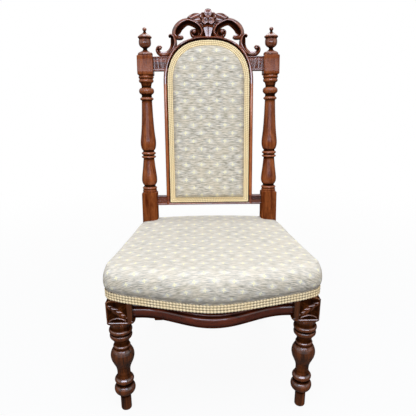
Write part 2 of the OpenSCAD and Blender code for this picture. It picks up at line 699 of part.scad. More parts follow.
module finial(right) {
  color(wood) leaning() side(right)
    translate([post_x, 0, upper_block_s + upper_block_h + joint_gap]) rotate_extrude()
      polygon(concat([[0, -spigot_l], [spigot_r, -spigot_l], [spigot_r, 0]],
        [for (s = finial_shares) [s[1] * finial_r, s[0] * finial_h]], [[0, finial_h]]));
}
module finial_left() { finial(false); }
module finial_right() { finial(true); }

module front_rail() {
  end_x = leg_in_x - joint_gap;
  xs = [for (i = [0:rail_steps]) end_x * (2 * i / rail_steps - 1)];
  color(wood_dark) in_place() difference() {
    union() {
      for (l = rail_layers) translate([0, 0, l[0]]) linear_extrude(l[1] - l[0])
        polygon(concat([for (x = xs) [x, rail_y(x) + l[2]]],
                       [for (x = reversed(xs)) [x, rail_y(x) + front_rail_t]]));
      intersection() {
        front_tenons(0);
        translate([-leg_x, -leg_x, rail_low_z]) cube([leg_span, leg_span, rail_top_z]);
      }
    }
    block_screws(screw_room);
    long_tacks(tack_room);
  }
}

module side_rail(right) {
  color(wood_dark) in_place() side(right) difference() {
    union() {
      for (l = rail_layers) translate([0, 0, l[0]]) linear_extrude(l[1] - l[0])
        polygon([[side_front_x - side_half, side_front_y],
                 [side_front_x + side_half - l[2], side_front_y],
                 [side_rear_x + side_half - l[2], side_rear_y],
                 [side_rear_x - side_half, side_rear_y]]);
      side_tenons(0);
    }
    side(true) block_screws(screw_room);
    cross_tacks(tack_room);
  }
}
module side_rail_left() { side_rail(false); }
module side_rail_right() { side_rail(true); }

module rear_rail() {
  end_x = post_in_x - joint_gap;
  color(wood_dark) in_place() difference() {
    union() {
      translate([-end_x, rear_rail_y - rear_rail_t / 2, rail_low_z])
        cube([2 * end_x, rear_rail_t, rail_top_z - rail_low_z]);
      translate([-end_x, rear_rail_y, rail_low_z])
        cube([2 * end_x, rear_face_y - rear_rail_y, rail_h]);
      rear_tenons(0);
    }
    block_screws(screw_room);
    long_tacks(tack_room);
  }
}

module front_corner_block_left() { mirror([1, 0, 0]) corner_block(front_block_plan); }
module front_corner_block_right() { corner_block(front_block_plan); }
module rear_corner_block_left() { mirror([1, 0, 0]) corner_block(rear_block_plan); }
module rear_corner_block_right() { corner_block(rear_block_plan); }

module corner_block_screws() { color(steel) in_place() block_screws(0); }

// Seat, from the webbing up

module webbing_lengthwise() {
  color(jute) in_place() difference() {
    for (i = [0:len(web_xs) - 1])
      translate([web_xs[i], 0, 0]) rotate([90, 0, 90])
        strip(web_line(long_start(i), web_ys, long_end, i % 2));
    long_tacks(tack_room);
  }
}
module webbing_crosswise() {
  color(jute) in_place() difference() {
    for (j = [0:len(web_ys) - 1])
      let(e = cross_end(web_ys[j]))
      translate([0, web_ys[j], 0]) rotate([90, 0, 0])
        strip(web_line(-e, web_xs, e, (j + 1) % 2));
    cross_tacks(tack_room);
  }
}
module webbing_tacks() {
  color(steel) in_place() {
    long_tacks(0);
    cross_tacks(0);
  }
}
module seat_springs() {
  color(steel) in_place() for (p = spring_places)
    translate([p[0], p[1], 0]) rotate(p[0] < 0 ? 180 : 0) spring();
}
module spring_canvas() {
  low = canvas_rings(0, canvas_inset);
  high = canvas_rings(canvas_t, canvas_inset);
  top = canvas_z + canvas_rise;
  color(jute) in_place() difference() {
    lofted(concat(reversed(low), high), [0, seat_mid_y, top], [0, seat_mid_y, top + canvas_t]);
    post_room(post_gap);
  }
}
module seat_stuffing() {
  under = concat(reversed(canvas_rings(stuffing_lift, canvas_inset)),
    [seat_ring(-stuffing_inset - roll_t, 0, canvas_z + stuffing_lift, 1, 0),
     seat_ring(-stuffing_inset - roll_t, 0, ledge_z + layer_gap, 1, 0)]);
  color(jute) in_place() difference() {
    lofted(concat(under, skin_rings(stuffing_inset, inner_levels)),
           [0, seat_mid_y, canvas_z + canvas_rise + stuffing_lift],
           [0, seat_mid_y, crown_z - stuffing_inset]);
    post_room(post_gap);
  }
}
module seat_cover() {
  color(cloth) in_place() difference() {
    lofted(concat(reversed(skin_rings(cover_t, inner_levels)), skin_rings(0, outer_levels)),
           [0, seat_mid_y, crown_z - cover_t], [0, seat_mid_y, crown_z]);
    post_room(post_gap);
  }
}

// Braid round the seat's lower edge, in front of the posts and between them
braid_t = 2.2;
braid_off = 1.3;
braid_low_z = ledge_z + layer_gap;
module seat_braid_ring() {
  translate([0, 0, braid_low_z]) linear_extrude(seat_braid_w) difference() {
    polygon(moved(seat_outline, braid_off + braid_t));
    polygon(moved(seat_outline, braid_off));
  }
}
module seat_braid() {
  color(braid) in_place() difference() {
    seat_braid_ring();
    post_room(post_gap);
    translate([-leg_span / 2, post_front_y - post_gap, rail_low_z]) cube([leg_span, leg_span, crown_z]);
  }
}
module rear_seat_braid() {
  color(braid) in_place() intersection() {
    seat_braid_ring();
    translate([-post_in_x + post_gap, post_front_y, rail_low_z])
      cube([2 * (post_in_x - post_gap), leg_span, crown_z]);
  }
}

// Back: frame, upholstery and outside back

module crest_rail() {
  end_x = post_in_x - joint_gap;
  color(wood) leaning() difference() {
    union() {
      slab(back_t / 2, back_t / 2) intersection() {
        polygon(panel_outline);
        translate([-leg_span / 2, spring_s + joint_gap]) square(leg_span);
      }
      slab(back_t / 2 - rebate_depth, back_t / 2 - rebate_depth)
        for (r = [false, true]) side(r)
          polygon([[panel_half_w - moulding_w, arm_low_s + arm_taper], [end_x, arm_low_s],
                   [end_x, arm_low_s + arm_h - arm_taper],
                   [panel_half_w * arm_root_share, arm_low_s + arm_h + arm_taper]]);
      arm_tenons(0);
      slab(scroll_half, scroll_half) carved(big_scroll_shares, true);
      slab(side_scroll_half, side_scroll_half) carved(side_scroll_shares, true);
      slab(leaf_half, leaf_half) carved(leaf_shares, false);
      slab(tongue_front, tongue_back) carved(tongue_shares, false);
      slab(scroll_half, scroll_half) for (r = [false, true]) side(r)
        translate(eye_place_share * carving_half_w + [0, carving_line_s]) circle(eye_r);
      translate([0, scroll_half, flower_s]) rotate([90, 0, 0]) {
        cylinder(r = flower_r * flower_disc_share, h = flower_depth - overrun);
        for (p = petal_shares) translate(p * flower_r) cylinder(r = petal_r, h = flower_depth);
        cylinder(r = boss_r, h = flower_depth + boss_r / 2);
      }
    }
    slab(back_t, back_t) polygon(moved(braid_outline, -rebate_w));
    rebated();
    frame_dowels(dowel_room);
  }
}

module back_stile(right) {
  color(wood) leaning() side(right) difference() {
    slab(back_t / 2, back_t / 2)
      polygon([[panel_half_w - moulding_w - rebate_w, back_rail_top_s + joint_gap],
               [panel_half_w, back_rail_top_s + joint_gap],
               [panel_half_w, spring_s - joint_gap],
               [panel_half_w - moulding_w - rebate_w, spring_s - joint_gap]]);
    rebated();
    frame_dowels(dowel_room);
  }
}
module back_stile_left() { back_stile(false); }
module back_stile_right() { back_stile(true); }

module lower_back_rail() {
  end_x = post_in_x - joint_gap;
  color(wood) leaning() difference() {
    union() {
      translate([-end_x, -back_t / 2, back_rail_s]) cube([2 * end_x, back_t, back_rail_h]);
      back_rail_tenons(0);
    }
    rebated();
    frame_dowels(dowel_room);
  }
}

module back_frame_dowels() { color(wood) leaning() frame_dowels(0); }

module back_canvas() {
  color(jute) leaning()
    translate([0, -face_y - joint_gap, 0]) rotate([90, 0, 0]) linear_extrude(back_canvas_t)
      polygon(moved(braid_outline, -tuck_in - overrun));
}
under_h = back_canvas_t + layer_gap + joint_gap;
module back_stuffing() {
  stuff_in = back_cover_t + layer_gap;
  color(jute) leaning() lofted(
    concat([back_ring(-pad_in - stuff_in - overrun, under_h, 0.5),
            back_ring(-pad_in - stuff_in - overrun, under_h)],
           [for (i = [1:len(pad_shares) - 1]) pad_rings(stuff_in)[i]]),
    [0, -face_y - under_h, back_mid_s], [0, -face_y - back_crown + stuff_in, back_mid_s]);
}
module back_cover() {
  inner = [for (i = [1, 2, 3, 4, 6]) pad_rings(back_cover_t)[i]];
  flap_h = under_h + back_cover_t;
  color(cloth) leaning() lofted(
    concat(reversed(inner),
      [back_ring(-pad_in - back_cover_t, under_h), back_ring(-tuck_in, under_h),
       back_ring(-tuck_in, joint_gap), back_ring(-edge_in, joint_gap),
       back_ring(-edge_in, flap_h - layer_gap), back_ring(-pad_in, flap_h)],
      [for (i = [1:len(pad_shares) - 1]) pad_rings(0)[i]]),
    [0, -face_y - back_crown + back_cover_t, back_mid_s], [0, -face_y - back_crown, back_mid_s]);
}
back_braid_h = under_h + back_cover_t + layer_gap;
module braid_frame() {
  rotate([90, 0, 0]) linear_extrude(braid_t) difference() {
    polygon(braid_outline);
    polygon(moved(braid_outline, -back_braid_w));
  }
}
module back_braid() {
  color(braid) leaning() translate([0, -face_y - back_braid_h, 0]) braid_frame();
}
outside_t = 2;
outside_crown = 5;
module outside_back_cover() {
  color(cloth) leaning() mirror([0, 1, 0]) lofted(
    [back_ring(-edge_in, joint_gap, 0.5), back_ring(-edge_in, joint_gap),
     back_ring(-edge_in, outside_t), back_ring(-back_braid_w - overrun, outside_t),
     back_ring(-back_braid_w - overrun, outside_crown * 0.8, 0.85),
     back_ring(-back_braid_w - overrun, outside_crown, 0.45)],
    [0, -face_y - joint_gap, back_mid_s], [0, -face_y - outside_crown, back_mid_s]);
}
module outside_back_braid() {
  color(braid) leaning()
    translate([0, face_y + outside_t + layer_gap + braid_t, 0]) braid_frame();
}

front_leg_left();
front_leg_right();
rear_leg_left();
rear_leg_right();
finial_left();
finial_right();
front_rail();
side_rail_left();
side_rail_right();
rear_rail();
front_corner_block_left();
front_corner_block_right();
rear_corner_block_left();
rear_corner_block_right();
corner_block_screws();
webbing_lengthwise();
webbing_crosswise();
webbing_tacks();
seat_springs();
spring_canvas();
seat_stuffing();
seat_cover();
seat_braid();
rear_seat_braid();
crest_rail();
back_stile_left();
back_stile_right();
lower_back_rail();
back_frame_dowels();
back_canvas();
back_stuffing();
back_cover();
back_braid();
outside_back_cover();
outside_back_braid();
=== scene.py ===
"""Carved parlour side chair: turned and carved walnut, a sprung seat and an arched, padded back.

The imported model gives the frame. Each section below makes one piece of the chair, or a pair of
like pieces, in the order in which the chair is put together. Lengths are in millimetres in the
chair's own working frame, whose y = 0 is the line of the front legs, until they go into a mesh.
"""
import bpy
import numpy as np
from mathutils import Matrix, Vector


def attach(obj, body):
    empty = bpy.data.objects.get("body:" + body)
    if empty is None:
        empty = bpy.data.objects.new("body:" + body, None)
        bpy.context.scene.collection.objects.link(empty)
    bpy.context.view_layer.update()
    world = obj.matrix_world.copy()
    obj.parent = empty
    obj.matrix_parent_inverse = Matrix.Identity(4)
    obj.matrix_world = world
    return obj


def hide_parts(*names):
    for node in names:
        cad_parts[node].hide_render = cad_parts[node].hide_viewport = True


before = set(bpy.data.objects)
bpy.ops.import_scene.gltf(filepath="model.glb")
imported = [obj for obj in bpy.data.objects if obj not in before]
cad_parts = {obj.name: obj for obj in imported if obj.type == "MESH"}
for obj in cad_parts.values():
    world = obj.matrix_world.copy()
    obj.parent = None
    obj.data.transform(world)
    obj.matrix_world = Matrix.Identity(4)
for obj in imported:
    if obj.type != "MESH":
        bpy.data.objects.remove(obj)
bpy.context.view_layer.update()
scene = bpy.context.scene


# Camera, floor and light
# The camera stands where the photograph's did, a little left of the chair and above it.
# A pale floor, a white surround for what the camera and glossy wood see, and soft studio light.

camera_place = (-0.0286, -1.04765, 0.8068)
camera_pitch, camera_yaw, camera_roll = np.radians([17.267, 1.151, -0.353])
ahead = np.array([np.sin(camera_yaw) * np.cos(camera_pitch),
                  np.cos(camera_yaw) * np.cos(camera_pitch), -np.sin(camera_pitch)])
level = np.array([np.cos(camera_yaw), -np.sin(camera_yaw), 0.0])
upright = np.cross(level, ahead)
right = np.cos(camera_roll) * level + np.sin(camera_roll) * upright
top = -np.sin(camera_roll) * level + np.cos(camera_roll) * upright
camera = bpy.data.objects.new("camera", bpy.data.cameras.new("camera"))
camera.data.sensor_width = 36.0
camera.data.lens = 35.91
camera.matrix_world = Matrix.Translation(camera_place) @ Matrix(
    np.stack([right, top, -ahead], 1).tolist()).to_4x4()
scene.collection.objects.link(camera)
scene.camera = camera
scene.view_settings.view_transform = "Standard"


def add(tree, kind, inputs=None, **settings):
    """Adds a node with its settings, and sets or links its inputs, by name or number."""
    made = tree.nodes.new(kind)
    for name, value in settings.items():
        setattr(made, name, value)
    for key, value in (inputs or {}).items():
        if isinstance(value, bpy.types.NodeSocket):
            tree.links.new(value, made.inputs[key])
        else:
            made.inputs[key].default_value = value
    return made


def colour(hex_text):
    """sRGB hex to linear RGBA: c / 12.92 under 0.04045, else ((c + 0.055) / 1.055) ** 2.4."""
    c = np.array([int(hex_text[i:i + 2], 16) / 255 for i in (1, 3, 5)])
    linear = np.where(c <= 0.04045, c / 12.92, ((c + 0.055) / 1.055) ** 2.4)
    return (*linear.tolist(), 1.0)


world = bpy.data.worlds.new("studio")
scene.world = world
world.use_nodes = True
tree = world.node_tree
tree.nodes.clear()
rays = add(tree, "ShaderNodeLightPath")
seen = add(tree, "ShaderNodeMath", {0: rays.outputs["Is Camera Ray"],
                                    1: rays.outputs["Is Transmission Ray"]}, operation="MAXIMUM")
sky = add(tree, "ShaderNodeTexCoord")
sky_up = add(tree, "ShaderNodeSeparateXYZ", {0: sky.outputs["Generated"]})
high = add(tree, "ShaderNodeMapRange", {0: sky_up.outputs[2], 1: 0.1, 2: 0.9, 3: 0.04, 4: 0.5})
glance = add(tree, "ShaderNodeMath", {0: rays.outputs["Is Glossy Ray"], 1: high.outputs[0]},
             operation="MULTIPLY")
shiny = add(tree, "ShaderNodeMath", {0: seen.outputs[0], 1: glance.outputs[0]}, operation="MAXIMUM")
sky_level = add(tree, "ShaderNodeMapRange", {0: sky_up.outputs[2], 1: -0.1, 2: 0.9, 3: 0.3, 4: 0.62})
ambient = add(tree, "ShaderNodeBackground", {"Color": colour("#f2f6ff"),
                                             "Strength": sky_level.outputs[0]})
white = add(tree, "ShaderNodeBackground", {"Color": colour("#ffffff"), "Strength": 1.0})
blend = add(tree, "ShaderNodeMixShader", {0: shiny.outputs[0], 1: ambient.outputs[0],
                                          2: white.outputs[0]})
add(tree, "ShaderNodeOutputWorld", {"Surface": blend.outputs[0]})

for name, place, width, depth, power, tint in (
        ("sky_light", (0.0, -1.25, 2.8), 2.4, 0.9, 43.0, "#dfe9ff"),
        ("window_light", (-0.1, -1.7, 1.15), 2.1, 0.36, 20.0, "#dfe8ff"),
        ("left_light", (-2.3, -0.9, 1.8), 2.6, 2.6, 10.0, "#fffdf8"),
        ("right_light", (2.3, -0.9, 1.8), 2.6, 2.6, 12.0, "#fff8ee"),
        ("back_light", (0.2, 1.5, 2.5), 1.6, 1.6, 20.0, "#ffffff")):
    lamp = bpy.data.objects.new(name, bpy.data.lights.new(name, "AREA"))
    lamp.data.shape = "RECTANGLE"
    lamp.data.size = width
    lamp.data.size_y = depth
    lamp.data.energy = power
    lamp.data.color = colour(tint)[:3]
    aim = Vector((0.0, 0.0, 0.5)) - Vector(place)
    lamp.matrix_world = Matrix.Translation(place) @ aim.to_track_quat("-Z", "Y").to_matrix().to_4x4()
    scene.collection.objects.link(lamp)


def new_finish(name):
    """A material with an empty node tree, and that tree."""
    finish = bpy.data.materials.new(name)
    finish.use_nodes = True
    finish.node_tree.nodes.clear()
    return finish, finish.node_tree


floor_half = 12.0
floor_mesh = bpy.data.meshes.new("floor")
floor_mesh.from_pydata([(-floor_half, -floor_half, 0), (floor_half, -floor_half, 0),
                        (floor_half, floor_half, 0), (-floor_half, floor_half, 0)], [], [(0, 1, 2, 3)])
floor = bpy.data.objects.new("floor", floor_mesh)
scene.collection.objects.link(floor)
paper, tree = new_finish("white_paper_floor")
rays = add(tree, "ShaderNodeLightPath")
seen = add(tree, "ShaderNodeMath", {0: rays.outputs["Is Camera Ray"],
                                    1: rays.outputs["Is Transmission Ray"]}, operation="MAXIMUM")
glance = add(tree, "ShaderNodeMath", {0: rays.outputs["Is Glossy Ray"], 1: 0.05},
             operation="MULTIPLY")
shiny = add(tree, "ShaderNodeMath", {0: seen.outputs[0], 1: glance.outputs[0]}, operation="MAXIMUM")
around = add(tree, "ShaderNodeTexCoord")
far = add(tree, "ShaderNodeVectorMath", {0: around.outputs["Object"]}, operation="LENGTH")
fade = add(tree, "ShaderNodeMapRange", {0: far.outputs["Value"], 1: 0.45, 2: 2.4, 3: 0.925, 4: 1.0},
           interpolation_type="SMOOTHSTEP")
share = add(tree, "ShaderNodeMath", {0: shiny.outputs[0], 1: fade.outputs[0]}, operation="MULTIPLY")
pale = add(tree, "ShaderNodeMix", {0: seen.outputs[0], 6: colour("#35312e"), 7: colour("#c4c4c2")},
           data_type="RGBA")
matt = add(tree, "ShaderNodeBsdfDiffuse", {"Color": pale.outputs[2]})
white = add(tree, "ShaderNodeEmission", {"Color": colour("#ffffff"), "Strength": 1.0})
blend = add(tree, "ShaderNodeMixShader", {0: share.outputs[0], 1: matt.outputs[0],
                                          2: white.outputs[0]})
# from below the paper is clear, so that the underside of the chair can be looked at
facing = add(tree, "ShaderNodeNewGeometry")
clear = add(tree, "ShaderNodeBsdfTransparent")
sided = add(tree, "ShaderNodeMixShader", {0: facing.outputs["Backfacing"], 1: blend.outputs[0],
                                          2: clear.outputs[0]})
add(tree, "ShaderNodeOutputMaterial", {"Surface": sided.outputs[0]})
floor_mesh.materials.append(paper)


# Front legs
# Two turned legs of walnut, each from one square billet: a bare round peg that once took a
# castor, a bulb, a vase, and a square block whose faces are carved with crossing leaves.

def walnut(name, along, body, light, dull_at=-0.4, bright_at=0.5, deep="#0d0503"):
    """French-polished walnut: figure and pores drawn out along one axis of the piece. By an attribute
    of rubbing and painted light, grooves are darkened as painted shade and ridges made lighter,
    partly by rubbing and partly as a painted highlight, under a thin gloss coat that is gone where
    that value is dull_at and whole where it is bright_at."""
    finish, tree = new_finish(name)
    place = add(tree, "ShaderNodeTexCoord")
    stretch = [1.0, 1.0, 1.0]
    stretch[along] = 0.07
    lay = add(tree, "ShaderNodeMapping", {"Vector": place.outputs["Object"], "Scale": stretch})
    # figure lines about 12 mm apart, pores 1.5 mm apart and coarser than real so that they show
    figure = add(tree, "ShaderNodeTexNoise", {"Vector": lay.outputs[0], "Scale": 85.0,
                                              "Detail": 6.0, "Roughness": 0.62, "Distortion": 0.5})
    pores = add(tree, "ShaderNodeTexNoise", {"Vector": lay.outputs[0], "Scale": 640.0,
                                             "Detail": 2.0, "Roughness": 0.5})
    wear_and_painted_light = add(tree, "ShaderNodeAttribute", attribute_name="wear_and_painted_light")
    streak = add(tree, "ShaderNodeMapRange", {0: figure.outputs[0], 1: 0.36, 2: 0.68})
    pore = add(tree, "ShaderNodeMapRange", {0: pores.outputs[0], 1: 0.55, 2: 0.72, 3: 0.0, 4: 0.5})
    # painted shade: grooves are mixed towards the deep colour; ridges are made lighter, partly by rubbing
    # and partly as a painted highlight
    groove = add(tree, "ShaderNodeMapRange", {0: wear_and_painted_light.outputs["Fac"], 1: 0.0, 2: -1.0, 3: 0.0, 4: 0.95})
    ridge = add(tree, "ShaderNodeMapRange", {0: wear_and_painted_light.outputs["Fac"], 1: 0.1, 2: 1.0, 3: 0.0, 4: 0.6})
    tone = add(tree, "ShaderNodeMix", {0: streak.outputs[0], 6: colour(body), 7: colour(light)},
               data_type="RGBA")
    rubbed_and_highlit = add(tree, "ShaderNodeMix", {0: ridge.outputs[0], 6: tone.outputs[2], 7: colour(light)},
                 data_type="RGBA")
    pored = add(tree, "ShaderNodeMix", {0: pore.outputs[0], 6: rubbed_and_highlit.outputs[2], 7: colour(deep)},
                data_type="RGBA")
    cut = add(tree, "ShaderNodeMix", {0: groove.outputs[0], 6: pored.outputs[2], 7: colour(deep)},
              data_type="RGBA")
    # the polish has worn dull in the grooves, where old wax and dust lie
    dull = add(tree, "ShaderNodeMapRange", {0: wear_and_painted_light.outputs["Fac"], 1: -0.8, 2: 0.1, 3: 0.45, 4: 0.13})
    gloss = add(tree, "ShaderNodeMapRange", {0: wear_and_painted_light.outputs["Fac"], 1: dull_at, 2: bright_at,
                                             3: 0.0, 4: 1.0})
    relief = add(tree, "ShaderNodeMath", {0: figure.outputs[0], 1: pore.outputs[0]},
                 operation="SUBTRACT")
    bump = add(tree, "ShaderNodeBump", {"Strength": 0.08, "Distance": 0.0005,
                                        "Height": relief.outputs[0]})
    skin = add(tree, "ShaderNodeBsdfPrincipled", {
        "Base Color": cut.outputs[2], "Roughness": dull.outputs[0], "Normal": bump.outputs[0],
        "IOR": 1.6, "Specular IOR Level": gloss.outputs[0]})
    add(tree, "ShaderNodeOutputMaterial", {"Surface": skin.outputs[0]})
    return finish


# darker than the posts' walnut: partly the legs' own patina, partly painted shade, as they stand under
# the seat
leg_walnut = walnut("polished_walnut_upright", 2, "#2e1507", "#7e4018", -0.5, 0.1)
seat_front_y = 171.05


def shell(rows, wear_and_painted_light=0.0, cloth=None, ring=False, poles=None):
    """A closed skin over a grid of points. Its columns run round and close on themselves. Its
    rows join end to end when ring is set, and otherwise a point closes each end. The sign of the
    enclosed volume tells which way the faces point, and they are turned outwards."""
    m, n = rows.shape[:2]
    ids = np.arange(m * n).reshape(m, n)
    low, high = (ids, np.roll(ids, -1, 0)) if ring else (ids[:-1], ids[1:])
    quads = np.stack([low, np.roll(low, -1, 1), np.roll(high, -1, 1), high], -1).reshape(-1, 4)
    points = rows.reshape(-1, 3)
    wear_and_painted_light = np.broadcast_to(wear_and_painted_light, (m, n)).reshape(-1)
    cloth = np.zeros((m * n, 2)) if cloth is None else cloth.reshape(-1, 2)
    tris = np.zeros((0, 3), int)
    if not ring:
        ends = [rows[0].mean(0), rows[-1].mean(0)] if poles is None else poles
        points = np.vstack([points, ends])
        grid = cloth.reshape(m, n, 2)
        wear_and_painted_light = np.append(wear_and_painted_light, [wear_and_painted_light[:n].mean(), wear_and_painted_light[-n:].mean()])
        cloth = np.vstack([cloth, grid[0].mean(0), grid[-1].mean(0)])
        tris = np.concatenate([
            np.stack([np.full(n, m * n), np.roll(ids[0], -1), ids[0]], -1),
            np.stack([np.full(n, m * n + 1), ids[-1], np.roll(ids[-1], -1)], -1)])
    faces = np.concatenate([quads[:, [0, 1, 2]], quads[:, [0, 2, 3]], tris])
    a, b, c = (points[faces[:, k]] for k in range(3))
    if np.einsum("ij,ij->i", a, np.cross(b, c)).sum() < 0:
        quads, tris = quads[:, ::-1], tris[:, ::-1]
    return points, quads, tris, wear_and_painted_light, cloth


def piece(name, shells, finish, slot, *nodes, crease=38.0):
    """Joins closed shells into one object at the origin, smooth but for edges sharper than the
    crease, with the attribute of rubbing and painted light and the attribute cloth, and hides the
    CAD parts that it stands for."""
    start = np.cumsum([0] + [len(s[0]) for s in shells])
    corners = np.concatenate([(f + k).ravel() for s, k in zip(shells, start) for f in (s[1], s[2])])
    counts = np.concatenate([np.full(len(f), f.shape[1]) for s in shells for f in (s[1], s[2])])
    points = np.concatenate([s[0] for s in shells]) - (0.0, seat_front_y, 0.0)
    mesh = bpy.data.meshes.new(name)
    mesh.vertices.add(len(points))
    mesh.vertices.foreach_set("co", (points / 1000.0).ravel())
    mesh.loops.add(len(corners))
    mesh.loops.foreach_set("vertex_index", corners)
    mesh.polygons.add(len(counts))
    mesh.polygons.foreach_set("loop_start", np.cumsum(counts) - counts)
    mesh.update(calc_edges=True)
    mesh.attributes.new("wear_and_painted_light", "FLOAT", "POINT").data.foreach_set(
        "value", np.concatenate([s[3] for s in shells]).astype(np.float32))
    cloth = np.concatenate([s[4] for s in shells]) / 1000.0
    mesh.attributes.new("cloth", "FLOAT_VECTOR", "POINT").data.foreach_set(
        "vector", np.column_stack([cloth, np.zeros(len(cloth))]).astype(np.float32).ravel())
    mesh.shade_smooth()
    mesh.set_sharp_from_angle(angle=np.radians(crease))
    mesh.materials.append(finish)
    made = bpy.data.objects.new(name, mesh)
    scene.collection.objects.link(made)
    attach(made, "root")
    if nodes:
        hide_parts(*nodes)
    return made


def blurred(values, width, closed=False):
    """A running mean of evenly spaced values under a bell curve that is width samples wide."""
    reach = int(3 * width) + 1
    bell = np.exp(-0.5 * (np.arange(-reach, reach + 1) / width) ** 2)
    mode = "wrap" if closed else "edge"
    values = np.asarray(values, float)
    flat = values.reshape(len(values), -1)
    wide = np.pad(flat, ((reach, reach), (0, 0)), mode=mode)
    out = np.stack([np.convolve(wide[:, k], bell / bell.sum(), "valid")
                    for k in range(flat.shape[1])], 1)
    return out.reshape(values.shape)


def even_steps(points, step):
    """Points at equal steps along the line through the given points."""
    points = np.asarray(points, float)
    run = np.append(0, np.cumsum(np.linalg.norm(np.diff(points, axis=0), axis=1)))
    at = np.linspace(0, run[-1], max(2, int(round(run[-1] / step)) + 1))
    return np.stack([np.interp(at, run, points[:, k]) for k in range(points.shape[1])], 1)


def turned(profile, step=1.0):
    """A turning's outline (height, radius) at even steps, its corners eased by 0.6 mm, and how far
    the radius stands out from its mean over the neighbouring 10 mm: beads lighter, partly by
    rubbing and partly as a painted highlight, and hollows darker as painted shade."""
    line = even_steps(profile, step)
    eased = blurred(line, 0.6 / step)
    eased[[0, -1]] = line[[0, -1]]
    stand = eased[:, 1] - blurred(eased[:, 1], 5.0 / step)
    return eased[:, 0], eased[:, 1], np.clip(stand / 1.4 - 0.1, -1, 1)


def squared_rings(half, corner, count):
    """Rings of rounded squares: from the centre, a ray at angle t meets the flat side at half, or
    the arc of the corner. A corner as large as half makes a circle."""
    even = np.arange(count) * 2 * np.pi / count
    t = even + 0.175 * np.sin(4 * even)
    fold = np.abs((t + np.pi / 4) % (np.pi / 2) - np.pi / 4)
    half, corner = half[:, None], corner[:, None]
    inner = half - corner
    along = inner * (np.cos(fold) + np.sin(fold))
    arc = along + np.sqrt(np.maximum(along ** 2 - 2 * inner ** 2 + corner ** 2, 0))
    radius = np.where(half * np.tan(fold) <= inner, half / np.cos(fold), arc)
    return np.stack([radius * np.cos(t), radius * np.sin(t)], -1)


leg_x = 224.0
leg_profile = [(0, 12.6), (0.6, 13.1), (3, 13.3), (41.5, 13.2), (43, 14.2), (45.5, 17), (49, 20.4),
               (53, 23.6), (57, 25.6), (62, 26.4), (67, 25.6), (71, 23.4), (75, 20.4), (78.5, 18.8),
               (80.5, 19.6), (83, 21.8), (86, 23.5), (89.5, 23.9), (92.5, 23), (95.5, 20.8),
               (98.5, 18.4), (106, 16.2), (118, 16.3), (128, 18.5), (138, 22.8), (148, 26.9),
               (156, 28.7), (162, 28.9), (168, 27.9), (174, 25.7), (179, 23), (182.5, 20.6),
               (184, 19.6), (185.5, 20.4), (188, 20.9), (190.2, 19.9), (192, 18.2), (196, 17.7),
               (200, 18.3), (204, 19.8), (207.5, 21.6), (210, 24), (213, 26.4), (217, 27.3),
               (220.5, 26.6), (223, 24.8), (224.6, 23.8), (226, 25.4), (229, 27.7), (233, 28.2),
               (235.6, 27.2), (237.4, 25.2), (241, 24.4), (246, 24.9), (250, 26.2), (254.5, 27.3)]
block_foot_z, block_top_z, hidden_top_z = 255.0, 316.0, 338.0
block_round_from, block_round_r = 13, 16.5
lip_w, lip_back, lip_foot_z, bracket_w = 8.0, 16.15, 265.8, 3.0
border_x, border_z, ground_depth = 22.6, 263.5, 2.6
leaf_x, leaf_z, leaf_run, leaf_drop, leaf_length, leaf_half_w = 22, 309, 44, 34, 55.6, 8.5
arc_z, arc_r, arc_half_w, arc_height = 247, 28, 1.9, 2.8


def leaf_relief(a, z):
    """Carved face of the block. The ground is cut back inside a plain border, and two crossing
    leaves and an arc are left standing: each leaf is a half round over its length, ribbed by a
    cosine and split by a vein."""
    ground = ground_depth / 4 * (1 - np.tanh((np.abs(a) - border_x) / 0.7))
    ground = ground * (1 + np.tanh((z - border_z) / 0.7))
    stand = np.zeros_like(a)
    for way, height in ((-1, 3.6), (1, 1.0)):
        from_x, from_z = way * a + leaf_x, z - leaf_z
        along = (from_x * leaf_run - from_z * leaf_drop) / leaf_length / leaf_length
        across = (from_x * leaf_drop + from_z * leaf_run) / leaf_length
        width = leaf_half_w * np.sin(np.pi * np.clip(along, 0.001, 0.999)) ** 0.6 + 0.01
        body = np.sqrt(np.maximum(1 - (across / width) ** 2, 0)) * (along > 0) * (along < 1)
        ribs = 0.68 + 0.32 * np.cos(2 * np.pi * (along * 4.0 - np.abs(across) / 9))
        vein = 1.1 * np.exp(-(across / 0.9) ** 2)
        stand = np.maximum(stand, height * body * ribs - vein * (body > 0))
    ring = np.abs(np.hypot(a, z - arc_z) - arc_r)
    inside = (z > border_z + 0.5) * (np.abs(a) < border_x - 2.6)
    stand = np.maximum(stand, arc_height * np.exp(-(ring / arc_half_w) ** 2) * inside)
    return ground - np.minimum(stand, ground + 0.9) * (ground > 0.1)


